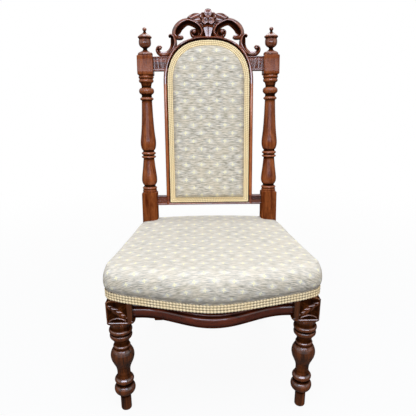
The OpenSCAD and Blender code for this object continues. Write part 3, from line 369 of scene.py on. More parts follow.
def front_leg(side):
    z, radius, wear_and_painted_light = turned(leg_profile, 1.3)
    block_z = np.concatenate([np.linspace(block_foot_z, block_top_z, 76),
                              np.linspace(block_top_z + 0.2, hidden_top_z, 4)])
    hidden = block_z > block_top_z
    block_half = np.where(hidden, 14.0, np.interp(block_z, [255, 256.2, 262, 263.5, 276, 300],
                                                  [24.8, 25.8, 26.9, 26.4, 27.5, 28.0]))
    half = np.concatenate([radius, block_half])
    corner = np.concatenate([radius, np.where(hidden, 3.0, np.interp(block_z, [255, 260], [14, 3]))])
    z = np.concatenate([z, block_z])
    ring = squared_rings(half, corner, 192)
    x, y = ring[..., 0].copy(), ring[..., 1].copy()
    height = np.broadcast_to(z[:, None], x.shape)
    block = (height >= block_foot_z) & (height <= block_top_z)
    flat = half[:, None] - 1.2
    front = block & (y < -flat)
    outer = block & (x > flat)
    cut_front = np.where(front, leaf_relief(x, height), 0)
    cut_outer = np.where(outer & ~front, leaf_relief(y, height), 0)
    # a lip on the inner side laps over the rail's end, and a hollow bracket ends it below
    bracket = height < lip_foot_z
    rise = np.clip((height - block_foot_z) / (lip_foot_z - block_foot_z), 0, 1)
    lip = np.where(bracket, bracket_w + 10.5 * rise, lip_w)
    lapped = block & ((y < -lip_back) | bracket) & (x < -border_x)
    stretch = (half[:, None] + lip - border_x) / (half[:, None] - border_x)
    x = np.where(lapped, -border_x + (x + border_x) * stretch, x)
    y += cut_front
    x -= cut_outer
    # the block's outer front corner is rounded off under the seat's round corner
    lean = block & (x > 0) & (y < 0)
    side_by, front_by = np.maximum(x - block_round_from, 0), np.maximum(-y - block_round_from, 0)
    away = np.hypot(side_by, front_by) + 1e-9
    pull = np.where(lean & (away > block_round_r), away - block_round_r, 0)
    x -= pull * side_by / away
    y += pull * front_by / away
    tone = np.concatenate([wear_and_painted_light, np.zeros(len(block_z))])[:, None] + np.zeros_like(x)
    carved = np.maximum(cut_front, cut_outer)
    # painted light and shade: on the carved faces the cut-back ground is darkened by its depth and the
    # standing leaves lightened; the plain faces are a little darker
    tone = np.where(block, np.where(front | outer, 0.25 - carved / 2.3, -0.15), tone)
    rows = np.stack([side * (leg_x + x), y, height], -1)
    return shell(rows, np.clip(tone, -1, 1))


for side, hand in ((-1, "left"), (1, "right")):
    piece("carved_front_leg_" + hand, [front_leg(side)], leg_walnut, "frame_wood", "front_leg_" + hand)


# Rear legs and back posts
# Each rear leg and post is one piece of walnut: a tapered foot that sweeps back, a square block
# at the seat, and above it a post that leans back, with a square block, a long double-baluster
# turning with rings and beads, and the square block that takes the crest.

post_walnut = walnut("polished_walnut_post", 2, "#62290f", "#a65c2e", -0.3, 1.7)
post_x, post_half, seat_run, knee_z = 178.0, 22.0, 318.6, 345.0
rake = np.radians(6.2)
foot_sweep, foot_half, leg_top_half, swept_top_z = 95.0, 14.0, 20.0, 276.0


def leaning(x, out, s):
    """A point of the back's own plane: x across, out in front of the post's centre line and s up
    it, turned back by the rake about the knee."""
    x, out, s = np.broadcast_arrays(x, out, s)
    return np.stack([x, seat_run - out * np.cos(rake) + s * np.sin(rake),
                     knee_z + out * np.sin(rake) + s * np.cos(rake)], -1)


post_profile = [
    (139.5, 22), (140.6, 20.4), (141.5, 20.3), (143.5, 21), (146, 20.9), (147.5, 19.6),
    (149.5, 19.7), (151, 21.2), (153.5, 21.5), (155, 20.4), (156.5, 17.6), (159, 16.1), (161, 16.7),
    (163.5, 19), (167, 20.8), (171, 22), (176, 22.6), (183, 22.2), (190, 21.5), (200, 20.3),
    (210, 18.9), (220, 17.8), (230, 16.8), (236, 16.2), (240.5, 15.5), (241.5, 17.9), (243, 20.5),
    (245, 21.1), (246.8, 19.8), (248.5, 16.3), (250, 16.1), (252, 18.9), (254, 20.8), (256.5, 20.7),
    (258.5, 18.3), (260.5, 15.4), (262.5, 15.8), (265, 18.1), (268.5, 19.9), (273, 21.3),
    (279, 22.2), (285, 22.5), (292, 22.2), (300, 21.3), (310, 20.1), (320, 19), (335, 17.9),
    (350, 17), (365, 16.2), (380, 15.7), (400, 15), (404.5, 14.8), (406, 15.2), (407.2, 17.6),
    (409.2, 19.2), (411.4, 19.2), (413.4, 17.8), (414.8, 14.9), (416, 14.4), (421.5, 14.4),
    (423, 16.1), (425, 19), (428, 21), (432, 21.6), (436, 21), (439, 18.8), (440.6, 15.3),
    (442, 13.6), (446, 13.8), (450, 14.8), (454, 16), (455.4, 18.2), (457, 20.5), (460, 20.9),
    (463, 20.6), (464.4, 19.1), (466, 19.2), (467.4, 21), (470, 21.8), (472.4, 21.1), (473.6, 20),
    (474.8, 20.8)]
lower_block_s, upper_block_s, upper_block_top_s = 139.5, 475.0, 528.0


def post(side):
    """Rings up the whole piece: level ones in the foot and the block, then rings square to the
    leaning axis. Half widths across and in depth differ only in the foot."""
    t = np.linspace(0, 1, 34)
    foot_z = t * (swept_top_z - 22)
    share = foot_z / swept_top_z
    foot_y = seat_run + foot_sweep * (1 - share) ** 1.5
    half = foot_half + (leg_top_half - foot_half) * share
    ring = squared_rings(half, np.full(len(t), 2.6), 64)
    foot = np.stack([ring[..., 0], foot_y[:, None] + ring[..., 1],
                     np.broadcast_to(foot_z[:, None], ring.shape[:2])], -1)
    block_z = np.array([254.2, 256.0, 300.0, 330.0])
    block_half = np.array([20.8, post_half, post_half, post_half])
    ring = squared_rings(block_half, np.array([3.0, 1.8, 1.8, 1.8]), 64)
    block = np.stack([ring[..., 0], seat_run + ring[..., 1],
                      np.broadcast_to(block_z[:, None], ring.shape[:2])], -1)
    s, radius, wear_and_painted_light = turned(post_profile, 1.1)
    low_s = np.concatenate([[10.0], np.linspace(20, lower_block_s - 2.5, 6),
                            [lower_block_s - 1.2, lower_block_s - 0.4]])
    high_s = np.concatenate([[upper_block_s + 0.3, upper_block_s + 1.2],
                             np.linspace(upper_block_s + 2.6, upper_block_top_s - 2.2, 6),
                             [upper_block_top_s - 0.9, upper_block_top_s]])
    ease = [0.0] * 7 + [0.7, 1.4]
    low_half, low_corner = post_half - np.array(ease), 1.8 + np.array(ease)
    ease = [1.6, 0.6] + [0.0] * 6 + [0.6, 1.9]
    high_half, high_corner = post_half - np.array(ease), 1.8 + np.array(ease)
    s = np.concatenate([low_s, s, high_s])
    half = np.concatenate([low_half, radius, high_half])
    corner = np.concatenate([low_corner, radius, high_corner])
    ring = squared_rings(half, corner, 64)
    upper = leaning(ring[..., 0], -ring[..., 1], s[:, None])
    # painted shade: the foot and the lower block, under the seat, are darker than the upper block; the
    # upper block's eased edges, where it meets the turning and the finial, are darker still
    tone = np.concatenate([np.full(len(t) + 4, -0.25), np.full(len(low_s), -0.3), wear_and_painted_light,
                           [-0.6, -0.2], np.full(len(high_s) - 4, -0.05), [0.0, -0.6]])
    rows = np.concatenate([foot, block, upper])
    rows[..., 0] = side * (post_x + rows[..., 0])
    return shell(rows, tone[:, None])


for side, hand in ((-1, "left"), (1, "right")):
    piece("turned_rear_leg_" + hand, [post(side)], post_walnut, "frame_wood", "rear_leg_" + hand)


# Finials
# A small urn turned by itself and glued into the top of each post: a flared foot, a narrow neck,
# the bowl with its rim, a stepped lid and a ball.

urn_walnut = walnut("polished_walnut_urn", 2, "#4e200e", "#9c5631", -0.5, 0.5)
finial_profile = [
    (528.2, 20), (530, 21.2), (534, 21), (536.5, 18.8), (539, 13.6), (541.5, 8.6), (544, 6),
    (547, 5.8), (549.5, 7.6), (551.5, 11.4), (554, 14.4), (557.5, 16.4), (562, 17.3), (567, 17.3),
    (571, 16.6), (573.6, 15.9), (574.8, 16.3), (576, 18.8), (577.6, 19.6), (579.6, 19.2), (580.8, 17.4),
    (583, 14.6), (585.4, 10.6), (588, 6.8), (590.5, 4.2), (593, 3.3), (594.6, 3.6), (596, 5),
    (598, 5.9), (600, 5.9), (602, 4.9), (603.4, 3.1), (604.1, 1.2)]


def finial(side):
    s, radius, wear_and_painted_light = turned(finial_profile, 0.8)
    ring = squared_rings(radius, radius, 64)
    return shell(leaning(side * (post_x + ring[..., 0]), -ring[..., 1], s[:, None]), wear_and_painted_light[:, None])


for side, hand in ((-1, "left"), (1, "right")):
    piece("urn_finial_" + hand, [finial(side)], urn_walnut, "frame_wood", "finial_" + hand)


# Seat rails
# Walnut rails tenoned into the legs. The front rail is bowed; its face and the side
# rails' carry one moulding: a hollow under the cover, a bead, a groove and a broad half round.

rail_walnut = walnut("polished_walnut_crosswise", 0, "#3a1308", "#752f15")
side_walnut = walnut("polished_walnut_lengthwise", 1, "#3a1308", "#752f15")
hollow_z = np.linspace(304.5, 315.5, 9)
round_z = np.linspace(272.6, 293.4, 17)
bead_z = np.linspace(298.2, 304.0, 7)
rail_moulding = np.array(
    [(8.0, 266.0), (6.2, 266.6), (5.4, 268.0), (5.4, 271.6)]
    + [(5.6 - 5.6 * np.sqrt(max(1 - ((z - 283) / 10.9) ** 2, 0)), z) for z in round_z]
    + [(6.2, 294.6), (6.2, 297.6)]
    + [(5.0 - 3.6 * np.sqrt(max(1 - ((z - 301.1) / 3.1) ** 2, 0)), z) for z in bead_z]
    + [(5.4 + 2.4 * np.sin(np.pi * (z - 304) / 12), z) for z in hollow_z]
    + [(9.0, 316.0), (9.0, 339.4), (9.6, 340.0)])
# painted light and shade: the further the moulding stands back, the darker it is, so the hollow under the
# cover and the groove are darkened and the half round's front is lighter
moulding_shade_and_wear = np.interp(rail_moulding[:, 0], [0, 2, 5.5, 7], [0.55, 0.1, -0.6, -1.0])


def rail(path, outward, thickness):
    """The moulding carried along a path in plan: each section point stands back from the face by
    its own set-back, and the flat inner face closes the section."""
    section = np.vstack([rail_moulding, [(thickness, 340.0), (thickness, 266.0)]])
    wear_and_painted_light = np.append(moulding_shade_and_wear, [0, 0])
    plan = path[:, None, :] - outward[:, None, :] * section[None, :, :1]
    height = np.broadcast_to(section[None, :, 1], plan.shape[:2])
    return shell(np.concatenate([plan, height[..., None]], -1), wear_and_painted_light[None, :])


def refinish(finish, *nodes):
    """Gives its finish to each CAD solid that is kept as it is."""
    for node in nodes:
        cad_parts[node].data.materials.clear()
        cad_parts[node].data.materials.append(finish)


rail_end_x, rail_bow, rail_bow_half, rail_face_y = 196.85, 50.0, 174.72, -16.0
front_rail_thick, side_rail_thick = 32.0, 28.0
side_front, side_rear = np.array([[242.0, 27.15]]), np.array([[195.0, 296.45]])
x = np.linspace(-rail_end_x, rail_end_x, 121)
bow = np.where(np.abs(x) < rail_bow_half, np.cos(np.pi / 2 * x / rail_bow_half) ** 2, 0)
front_path = np.stack([x, rail_face_y - rail_bow * bow], 1)
straight_out = np.tile([0.0, -1.0], (len(x), 1))
piece("moulded_front_rail", [rail(front_path, straight_out, front_rail_thick)], rail_walnut, "frame_wood",
      "front_rail")
for side, hand in ((-1, "left"), (1, "right")):
    along = np.linspace(0, 1, 31)[:, None]
    path = side_front * (1 - along) + side_rear * along
    out = np.tile([1.0, 0.0], (len(path), 1))
    path, out = path * (side, 1), out * (side, 1)
    piece("moulded_side_rail_" + hand, [rail(path, out, side_rail_thick)], side_walnut, "frame_wood",
          "side_rail_" + hand)
refinish(rail_walnut, "rear_rail")


# Corner blocks, screws and tacks
# Sawn beech blocks screwed inside the corners of the seat frame, with steel wood screws, and
# the blued iron tacks of the webbing. Their CAD solids are kept.

def sawn_beech(name):
    """Raw sawn beech: pale, with fine flecks and saw marks 3 mm apart, and dull."""
    finish, tree = new_finish(name)
    place = add(tree, "ShaderNodeTexCoord")
    lay = add(tree, "ShaderNodeMapping", {"Vector": place.outputs["Object"], "Scale": (1, 0.12, 1)})
    fleck = add(tree, "ShaderNodeTexNoise", {"Vector": lay.outputs[0], "Scale": 320.0, "Detail": 4.0})
    saw = add(tree, "ShaderNodeTexWave", {"Vector": place.outputs["Object"], "Scale": 105.0,
                                          "Distortion": 2.0}, bands_direction="Z")
    tone = add(tree, "ShaderNodeMix", {0: fleck.outputs[0], 6: colour("#7d5c3c"),
                                       7: colour("#a9835a")}, data_type="RGBA")
    bump = add(tree, "ShaderNodeBump", {"Strength": 0.3, "Distance": 0.0005, "Height": saw.outputs[0]})
    skin = add(tree, "ShaderNodeBsdfPrincipled", {"Base Color": tone.outputs[2], "Roughness": 0.75,
                                                  "Normal": bump.outputs[0]})
    add(tree, "ShaderNodeOutputMaterial", {"Surface": skin.outputs[0]})
    return finish


def blued_steel(name, hex_text, rough):
    """Plain steel wire or forged tack: grey-blue metal, mottled by old rust."""
    finish, tree = new_finish(name)
    place = add(tree, "ShaderNodeTexCoord")
    mottle = add(tree, "ShaderNodeTexNoise", {"Vector": place.outputs["Object"], "Scale": 180.0,
                                              "Detail": 4.0})
    rust = add(tree, "ShaderNodeMapRange", {0: mottle.outputs[0], 1: 0.5, 2: 0.7, 3: 0.0, 4: 0.6})
    tone = add(tree, "ShaderNodeMix", {0: rust.outputs[0], 6: colour(hex_text),
                                       7: colour("#5c3b2a")}, data_type="RGBA")
    skin = add(tree, "ShaderNodeBsdfPrincipled", {"Base Color": tone.outputs[2], "Metallic": 0.85,
                                                  "Roughness": rough})
    add(tree, "ShaderNodeOutputMaterial", {"Surface": skin.outputs[0]})
    return finish


beech = sawn_beech("sawn_beech")
tack_steel = blued_steel("blued_steel_tacks", "#5d6066", 0.42)
spring_steel = blued_steel("coppered_spring_wire", "#8b8178", 0.38)
refinish(beech, "front_corner_block_left", "front_corner_block_right", "rear_corner_block_left",
         "rear_corner_block_right", "back_frame_dowels")
refinish(tack_steel, "corner_block_screws", "webbing_tacks")


# Webbing
# Three jute straps from front to rear and three from side to side, 50 mm wide, woven over and
# under each other, drawn tight and tacked under the rails.

def woven_jute(name, light, dark, thread):
    """Plain weave of coarse jute: warp and weft are two sines across each other, thread apart,
    that also lift the surface, with a noise for the yarn's thick and thin places."""
    finish, tree = new_finish(name)
    lay = add(tree, "ShaderNodeAttribute", attribute_name="cloth")
    part = add(tree, "ShaderNodeSeparateXYZ", {0: lay.outputs["Vector"]})
    waves = []
    for axis in (0, 1):
        turn = add(tree, "ShaderNodeMath", {0: part.outputs[axis], 1: np.pi / thread},
                   operation="MULTIPLY")
        waves.append(add(tree, "ShaderNodeMath", {0: turn.outputs[0]}, operation="SINE"))
    weave = add(tree, "ShaderNodeMath", {0: waves[0].outputs[0], 1: waves[1].outputs[0]},
                operation="MULTIPLY")
    slub = add(tree, "ShaderNodeTexNoise", {"Vector": lay.outputs["Vector"], "Scale": 240.0,
                                            "Detail": 3.0})
    mixed = add(tree, "ShaderNodeMath", {0: weave.outputs[0], 1: slub.outputs[0]}, operation="ADD")
    factor = add(tree, "ShaderNodeMapRange", {0: mixed.outputs[0], 1: -0.4, 2: 1.4})
    tone = add(tree, "ShaderNodeMix", {0: factor.outputs[0], 6: colour(dark), 7: colour(light)},
               data_type="RGBA")
    bump = add(tree, "ShaderNodeBump", {"Strength": 0.6, "Distance": 0.0008,
                                        "Height": weave.outputs[0]})
    skin = add(tree, "ShaderNodeBsdfPrincipled", {"Base Color": tone.outputs[2], "Roughness": 0.95,
                                                  "Normal": bump.outputs[0]})
    add(tree, "ShaderNodeOutputMaterial", {"Surface": skin.outputs[0]})
    return finish


webbing_jute = woven_jute("webbing_jute", "#b79a6a", "#6b5233", 0.0022)
canvas_hessian = woven_jute("canvas_hessian", "#a68d63", "#67512f", 0.0016)
web_xs, web_ys = [-103.9, 0.0, 103.9], [81.9, 159.9, 238.0]
web_w, web_t, web_z, weave_up = 50.0, 1.6, 265.05, 1.1


def strap(start, stop, crossings, first_up, centre, lengthwise):
    """A flat strap whose height swings between under and over at each crossing, by a cosine."""
    run = np.linspace(start, stop, 140)
    knots = [start] + [c + e for c in crossings for e in (-29, 29)] + [stop]
    level = [0.0] + [(weave_up if (i + first_up) % 2 == 0 else -weave_up)
                     for i in range(len(crossings)) for _ in (0, 1)] + [0.0]
    lift = blurred(np.interp(run, knots, level), 1.5)
    across = np.linspace(-web_w / 2, web_w / 2, 13)
    thick = web_t / 2 * np.sqrt(1 - (across / (web_w / 2 + 0.6)) ** 6)
    section_w = np.concatenate([across, across[::-1]])
    section_t = np.concatenate([thick, -thick[::-1]])
    along, wide = np.meshgrid(run, section_w, indexing="ij")
    height = web_z + lift[:, None] + section_t[None, :]
    plan = (wide + centre, along) if lengthwise else (along, wide + centre)
    return shell(np.stack([*plan, height], -1), 0.0, np.stack([along, wide], -1))


web_lap, web_front_in, rear_rail_in, joint_gap, rest_gap = 20.0, 12.0, 14.1, 0.15, 0.3
long_end_y = seat_run + post_half - rear_rail_in - side_rail_thick - joint_gap + web_lap
straps = []
for i, x0 in enumerate(web_xs):
    bow_here = np.cos(np.pi / 2 * (abs(x0) + web_w / 2) / rail_bow_half) ** 2
    front_y = rail_face_y - rail_bow * bow_here + web_front_in
    straps.append(strap(front_y, long_end_y, web_ys, i % 2, x0, True))
piece("jute_webbing_lengthwise", straps, webbing_jute, "jute", "webbing_lengthwise")
straps = []
for j, y0 in enumerate(web_ys):
    rail_x = np.interp(y0, [side_front[0, 1], side_rear[0, 1]], [side_front[0, 0], side_rear[0, 0]])
    reach = rail_x - side_rail_thick + web_lap
    straps.append(strap(-reach, reach, web_xs, (j + 1) % 2, y0, False))
piece("jute_webbing_crosswise", straps, webbing_jute, "jute", "webbing_crosswise")


# Springs
# Five hourglass springs of coppered steel wire, 4.5 turns each, with their end turns laid flat.
# Each is sewn to the webbing on a crossing or close to one, and carries the canvas.

spring_places = [(-77.95, 95.6), (77.95, 95.6), (0.0, 159.9), (-77.95, 224.3), (77.95, 224.3)]
spring_r, wire_r, spring_turns = 36.0, 1.6, 4.5
spring_low_z, spring_top_z = web_z + weave_up + web_t / 2 + rest_gap + wire_r, 350.0


def coil(x0, y0):
    """A wire tube along an hourglass helix: the radius is least half way up, the height eases in
    and out so that the end turns lie flat."""
    t = np.linspace(0, 1, 200)
    turn = 2 * np.pi * spring_turns * t + (np.pi if x0 < 0 else 0)
    radius = spring_r * (0.62 + 0.38 * (2 * t - 1) ** 2)
    height = spring_low_z + (spring_top_z - spring_low_z) * t * t * (3 - 2 * t)
    b = np.arange(10) * 2 * np.pi / 10
    wide = radius[:, None] + wire_r * np.cos(b)
    return shell(np.stack([x0 + wide * np.cos(turn)[:, None], y0 + wide * np.sin(turn)[:, None],
                           height[:, None] - wire_r * np.sin(b)], -1))


piece("coil_springs", [coil(*p) for p in spring_places], spring_steel, "spring_steel", "seat_springs")


# Spring canvas
# Hessian tacked to the tops of the rails and pushed up into a low dome by the springs. It is
# cut round the back posts, and its outline is the seat's own, moved inwards.

corner_x, corner_y, corner_r = 220.5, 18.0, 34.5
bow_bend, bow_half = 50.0, 206.0
rear_line_y, seat_mid_y, post_front_y, post_in_x = 336.6, 140.2, 296.6, 156.0
roll_foot_z, roll_h, seat_half_w = 340, 72.0, 251


def seat_edge(count):
    """The seat's outline at the braid, from the middle of the front round to the right: a
    hyperbola for the bow, an arc for the corner, a straight side and a straight rear, taken at
    even steps and eased over 6 mm."""
    x = np.linspace(0, bow_half, 90)
    rise = np.sqrt(1 + (x / bow_bend) ** 2) - 1
    a = np.radians(np.linspace(-70, 0, 20))
    half = np.concatenate([
        np.stack([x, -26 - rail_bow * (1 - rise / rise[-1])], 1),
        np.stack([corner_x + corner_r * np.cos(a), corner_y + corner_r * np.sin(a)], 1),
        [(200.0, post_front_y), (190.0, rear_line_y), (0.0, rear_line_y)]])
    whole = np.concatenate([half, half[-2:0:-1] * (-1, 1), half[:1]])
    run = np.append(0, np.cumsum(np.linalg.norm(np.diff(whole, axis=0), axis=1)))
    at = np.arange(count) * run[-1] / count
    line = np.stack([np.interp(at, run, whole[:, k]) for k in (0, 1)], 1)
    line = blurred(line, 6.0 * count / run[-1], closed=True)
    ahead = np.roll(line, -1, 0) - np.roll(line, 1, 0)
    ahead /= np.linalg.norm(ahead, axis=1)[:, None]
    return line, np.stack([ahead[:, 1], -ahead[:, 0]], 1)


edge, edge_out = seat_edge(360)


def seat_ring(out, bulge, z, draw=1.0, drop=12.0):
    """A ring of the seat: the outline moved outwards by out and a bulge that is full in front and
    less at the sides and rear, drawn towards the middle, with its sides lower near the top."""
    full = 0.35 + 0.65 * np.maximum(0, -edge_out[:, 1]) - 0.15 * np.maximum(0, edge_out[:, 1])
    plan = edge + edge_out * (out + bulge * full)[:, None]
    plan = np.stack([plan[:, 0] * draw, seat_mid_y + (plan[:, 1] - seat_mid_y) * draw], 1)
    ramp = np.clip((z - roll_foot_z) / roll_h, 0, 1)
    return np.column_stack([plan, z - drop * ramp * (plan[:, 0] / seat_half_w) ** 2])


def round_posts(rows, gap):
    """Points inside a rear post's room are moved to its nearer face, as the cover is cut there."""
    x, y = rows[..., 0], rows[..., 1]
    in_x = np.abs(x) - (post_in_x - gap)
    in_y = y - (post_front_y - gap)
    inside = (in_x > 0) & (in_y > 0)
    rows[..., 0] = np.where(inside & (in_x <= in_y), np.sign(x) * (post_in_x - gap), x)
    rows[..., 1] = np.where(inside & (in_x > in_y), post_front_y - gap, y)
    return rows


def spline(points, steps):
    """A smooth line through the points, by Catmull and Rom's cubic, steps to a span."""
    p = np.asarray(points, float)
    p = np.vstack([2 * p[0] - p[1], p, 2 * p[-1] - p[-2]])
    t = (np.arange(steps) / steps)[None, :, None]
    a, b, c, d = (p[k:len(p) - 3 + k, None, :] for k in range(4))
    line = 0.5 * (2 * b + (c - a) * t + (2 * a - 5 * b + 4 * c - d) * t ** 2
                  + (3 * b - a - 3 * c + d) * t ** 3)
    return np.vstack([line.reshape(-1, p.shape[1]), p[-2]])


canvas_low_z, canvas_rise, canvas_t = 340.15, 20.0, 1.2
canvas_shares = spline([[1, 0], [0.9, 0.1], [0.8, 0.42], [0.64, 0.8], [0.4, 0.96], [0.2, 1]], 3)


def canvas_rings(lift):
    return [seat_ring(-16.0, np.zeros(1), canvas_low_z + lift + rise * canvas_rise, draw, 0.0)
            for draw, rise in canvas_shares]


rows = round_posts(np.stack(canvas_rings(0.0)[::-1] + canvas_rings(canvas_t)), 0.5)
canvas = piece("spring_hessian", [shell(rows, 0.0, rows[..., :2])], canvas_hessian, "jute",
               "spring_canvas")


# Seat cushion
# Horsehair stuffed over the springs and covered with a woven figured cloth, drawn down over a
# firm front roll and nailed to the rails under the braid. It is cut round the back posts.

def figured_cloth(name):
    """Cotton and wool figured cloth: small cream stars, 45 mm apart in rows 22.5 mm apart that
    are each set over by half a repeat, on a grey-green ground with slubs across. The pattern
    reads the attribute called cloth, which is the cloth's own length and width."""
    finish, tree = new_finish(name)
    lay = add(tree, "ShaderNodeAttribute", attribute_name="cloth")
    waver = add(tree, "ShaderNodeTexNoise", {"Vector": lay.outputs["Vector"], "Scale": 160.0,
                                             "Detail": 2.0}, noise_dimensions="3D")
    shaken = add(tree, "ShaderNodeVectorMath", {0: waver.outputs["Color"], 1: (0.5, 0.5, 0.5)},
                 operation="SUBTRACT")
    small = add(tree, "ShaderNodeVectorMath", {0: shaken.outputs[0], "Scale": 0.003},
                operation="SCALE")
    drawn = add(tree, "ShaderNodeVectorMath", {0: lay.outputs["Vector"], 1: small.outputs[0]},
                operation="ADD")
    cells = add(tree, "ShaderNodeVectorMath", {0: drawn.outputs[0], "Scale": 1 / 0.045},
                operation="SCALE")
    found = []
    for shift in (0.5, 0.0):
        moved = add(tree, "ShaderNodeVectorMath", {0: cells.outputs[0], 1: (shift, shift, 0)},
                    operation="ADD")
        part = add(tree, "ShaderNodeVectorMath", {0: moved.outputs[0]}, operation="FRACTION")
        centred = add(tree, "ShaderNodeVectorMath", {0: part.outputs[0], 1: (0.5, 0.5, 0.0)},
                      operation="SUBTRACT")
        plane = add(tree, "ShaderNodeVectorMath", {0: centred.outputs[0], 1: (1.0, 1.0, 0.0)},
                    operation="MULTIPLY")
        far = add(tree, "ShaderNodeVectorMath", {0: plane.outputs[0]}, operation="LENGTH")
        found.append((plane, far))
    nearer = add(tree, "ShaderNodeMath", {0: found[0][1].outputs["Value"],
                                          1: found[1][1].outputs["Value"]}, operation="GREATER_THAN")
    motif = add(tree, "ShaderNodeMix", {0: nearer.outputs[0], 4: found[0][0].outputs[0],
                                        5: found[1][0].outputs[0]}, data_type="VECTOR")
    at = add(tree, "ShaderNodeSeparateXYZ", {0: motif.outputs[1]})
    radius = add(tree, "ShaderNodeVectorMath", {0: motif.outputs[1]}, operation="LENGTH")
    angle = add(tree, "ShaderNodeMath", {0: at.outputs[1], 1: at.outputs[0]}, operation="ARCTAN2")
    four = add(tree, "ShaderNodeMath", {0: angle.outputs[0], 1: 4.0}, operation="MULTIPLY")
    lobes = add(tree, "ShaderNodeMath", {0: four.outputs[0]}, operation="COSINE")
    points = add(tree, "ShaderNodeMath", {0: lobes.outputs[0], 1: 0.035, 2: 0.085},
                 operation="MULTIPLY_ADD")
    inside = add(tree, "ShaderNodeMath", {0: points.outputs[0], 1: radius.outputs["Value"]},
                 operation="SUBTRACT")
    star = add(tree, "ShaderNodeMapRange", {0: inside.outputs[0], 1: -0.03, 2: 0.03},
               interpolation_type="SMOOTHSTEP")
    wide = add(tree, "ShaderNodeVectorMath", {0: motif.outputs[1], 1: (0.62, 1.35, 0.0)},
               operation="MULTIPLY")
    halo_far = add(tree, "ShaderNodeVectorMath", {0: wide.outputs[0]}, operation="LENGTH")
    halo = add(tree, "ShaderNodeMapRange", {0: halo_far.outputs["Value"], 1: 0.24, 2: 0.08,
                                            3: 0.0, 4: 0.42}, interpolation_type="SMOOTHSTEP")
    # slubs: streaks across the cloth, 30 mm long and 2.5 mm thick, coarser than real to show
    across = add(tree, "ShaderNodeMapping", {"Vector": lay.outputs["Vector"], "Scale": (0.13, 1, 1)})
    slubs = add(tree, "ShaderNodeTexNoise", {"Vector": across.outputs[0], "Scale": 420.0,
                                             "Detail": 4.0, "Roughness": 0.6})
    cloud = add(tree, "ShaderNodeTexNoise", {"Vector": lay.outputs["Vector"], "Scale": 22.0,
                                             "Detail": 3.0})
    streak = add(tree, "ShaderNodeMapRange", {0: slubs.outputs[0], 1: 0.38, 2: 0.62})
    faded = add(tree, "ShaderNodeMapRange", {0: cloud.outputs[0], 1: 0.4, 2: 0.65, 3: 0.0, 4: 0.35})
    ground = add(tree, "ShaderNodeMix", {0: streak.outputs[0], 6: colour("#948d79"),
                                         7: colour("#e6dbc4")}, data_type="RGBA")
    aged = add(tree, "ShaderNodeMix", {0: faded.outputs[0], 6: ground.outputs[2],
                                       7: colour("#d9c8a4")}, data_type="RGBA")
    # painted light: the cloth is mixed towards pale cream by that value, which is high on the seat's top
    worn = add(tree, "ShaderNodeAttribute", attribute_name="wear_and_painted_light")
    painted_top_light = add(tree, "ShaderNodeMath", {0: worn.outputs["Fac"], 1: 0.32}, operation="MULTIPLY")
    pale = add(tree, "ShaderNodeMix", {0: painted_top_light.outputs[0], 6: aged.outputs[2],
                                       7: colour("#e4dccb")}, data_type="RGBA")
    haloed = add(tree, "ShaderNodeMix", {0: halo.outputs[0], 6: pale.outputs[2],
                                         7: colour("#e6e4dc")}, data_type="RGBA")
    starred = add(tree, "ShaderNodeMix", {0: star.outputs[0], 6: haloed.outputs[2],
                                          7: colour("#f1e7b9")}, data_type="RGBA")
    raised = add(tree, "ShaderNodeMath", {0: star.outputs[0], 1: 0.8, 2: slubs.outputs[0]},
                 operation="MULTIPLY_ADD")
    bump = add(tree, "ShaderNodeBump", {"Strength": 0.5, "Distance": 0.0009,
                                        "Height": raised.outputs[0]})
    skin = add(tree, "ShaderNodeBsdfPrincipled", {
        "Base Color": starred.outputs[2], "Roughness": 0.92, "Normal": bump.outputs[0],
        "Specular IOR Level": 0.2, "Sheen Weight": 0.15, "Sheen Roughness": 0.5})
    add(tree, "ShaderNodeOutputMaterial", {"Surface": skin.outputs[0]})
    return finish


cover_cloth = figured_cloth("figured_cotton_cloth")
seat_low_z, seat_foot_z, seat_h, seat_bulge, rim_row = 316.3, 316.0, 96.0, 9.5, 8
pattern_shift, nap_stretch, under_gap, seat_mid_z = 126, 1.1, canvas_t + rest_gap, 408.4
skin_shares = [
    [0, 0.003, 1], [0.1, 0.22, 1], [0.74, 0.315, 1], [1, 0.43, 1], [0.95, 0.566, 1],
    [0.53, 0.712, 1], [-0.3, 0.827, 1], [-1.47, 0.91, 1], [-2.95, 0.958, 1],
    [-2.95, 0.979, 0.75], [-2.95, 0.995, 0.5], [-2.95, 1, 0.22]]
steps_a_span = 5
skin = spline(skin_shares, steps_a_span)
hollow_y = [-60, -36, 0, 30, 110, 200, 256, 290, 320]
hollow_dz = [0, -1, -3, -4.5, -4.5, -1, 4, 2, -1]
skin_rows = []
for bulge, share, draw in skin:
    ring = seat_ring(0.0, bulge * seat_bulge, seat_foot_z + share * seat_h, draw)
    top_share = np.clip((share - 0.82) / 0.14, 0, 1) ** 2
    ring[:, 2] += top_share * np.interp(ring[:, 1], hollow_y, hollow_dz)
    skin_rows.append(ring)
outer = np.stack(skin_rows)
rim = rim_row * steps_a_span
down = np.linalg.norm(np.diff(outer[:rim + 1], axis=0), axis=-1)
below = np.vstack([np.cumsum(down[::-1], axis=0)[::-1], np.zeros(outer.shape[1])])
lay = outer[..., :2].copy()
lay[:rim + 1] = outer[rim, :, :2] + edge_out * (nap_stretch * below)[..., None]
lay[..., 1] += pattern_shift
under = [seat_ring(-16.0, 0.0, canvas_low_z + under_gap + rise * canvas_rise, draw, 0.0)
         for draw, rise in canvas_shares][::-1]
under += [seat_ring(-9.8, 0.0, z, 1.0, 0.0) for z in (341.8, 339.0, 328.0, seat_low_z)]
rows = round_posts(np.concatenate([np.stack(under), outer]), 0.5)
lay = np.concatenate([np.zeros((len(under), *lay.shape[1:])), lay])
middle = [(0.0, seat_mid_y, canvas_low_z + canvas_rise + under_gap), (0.0, seat_mid_y, seat_mid_z)]
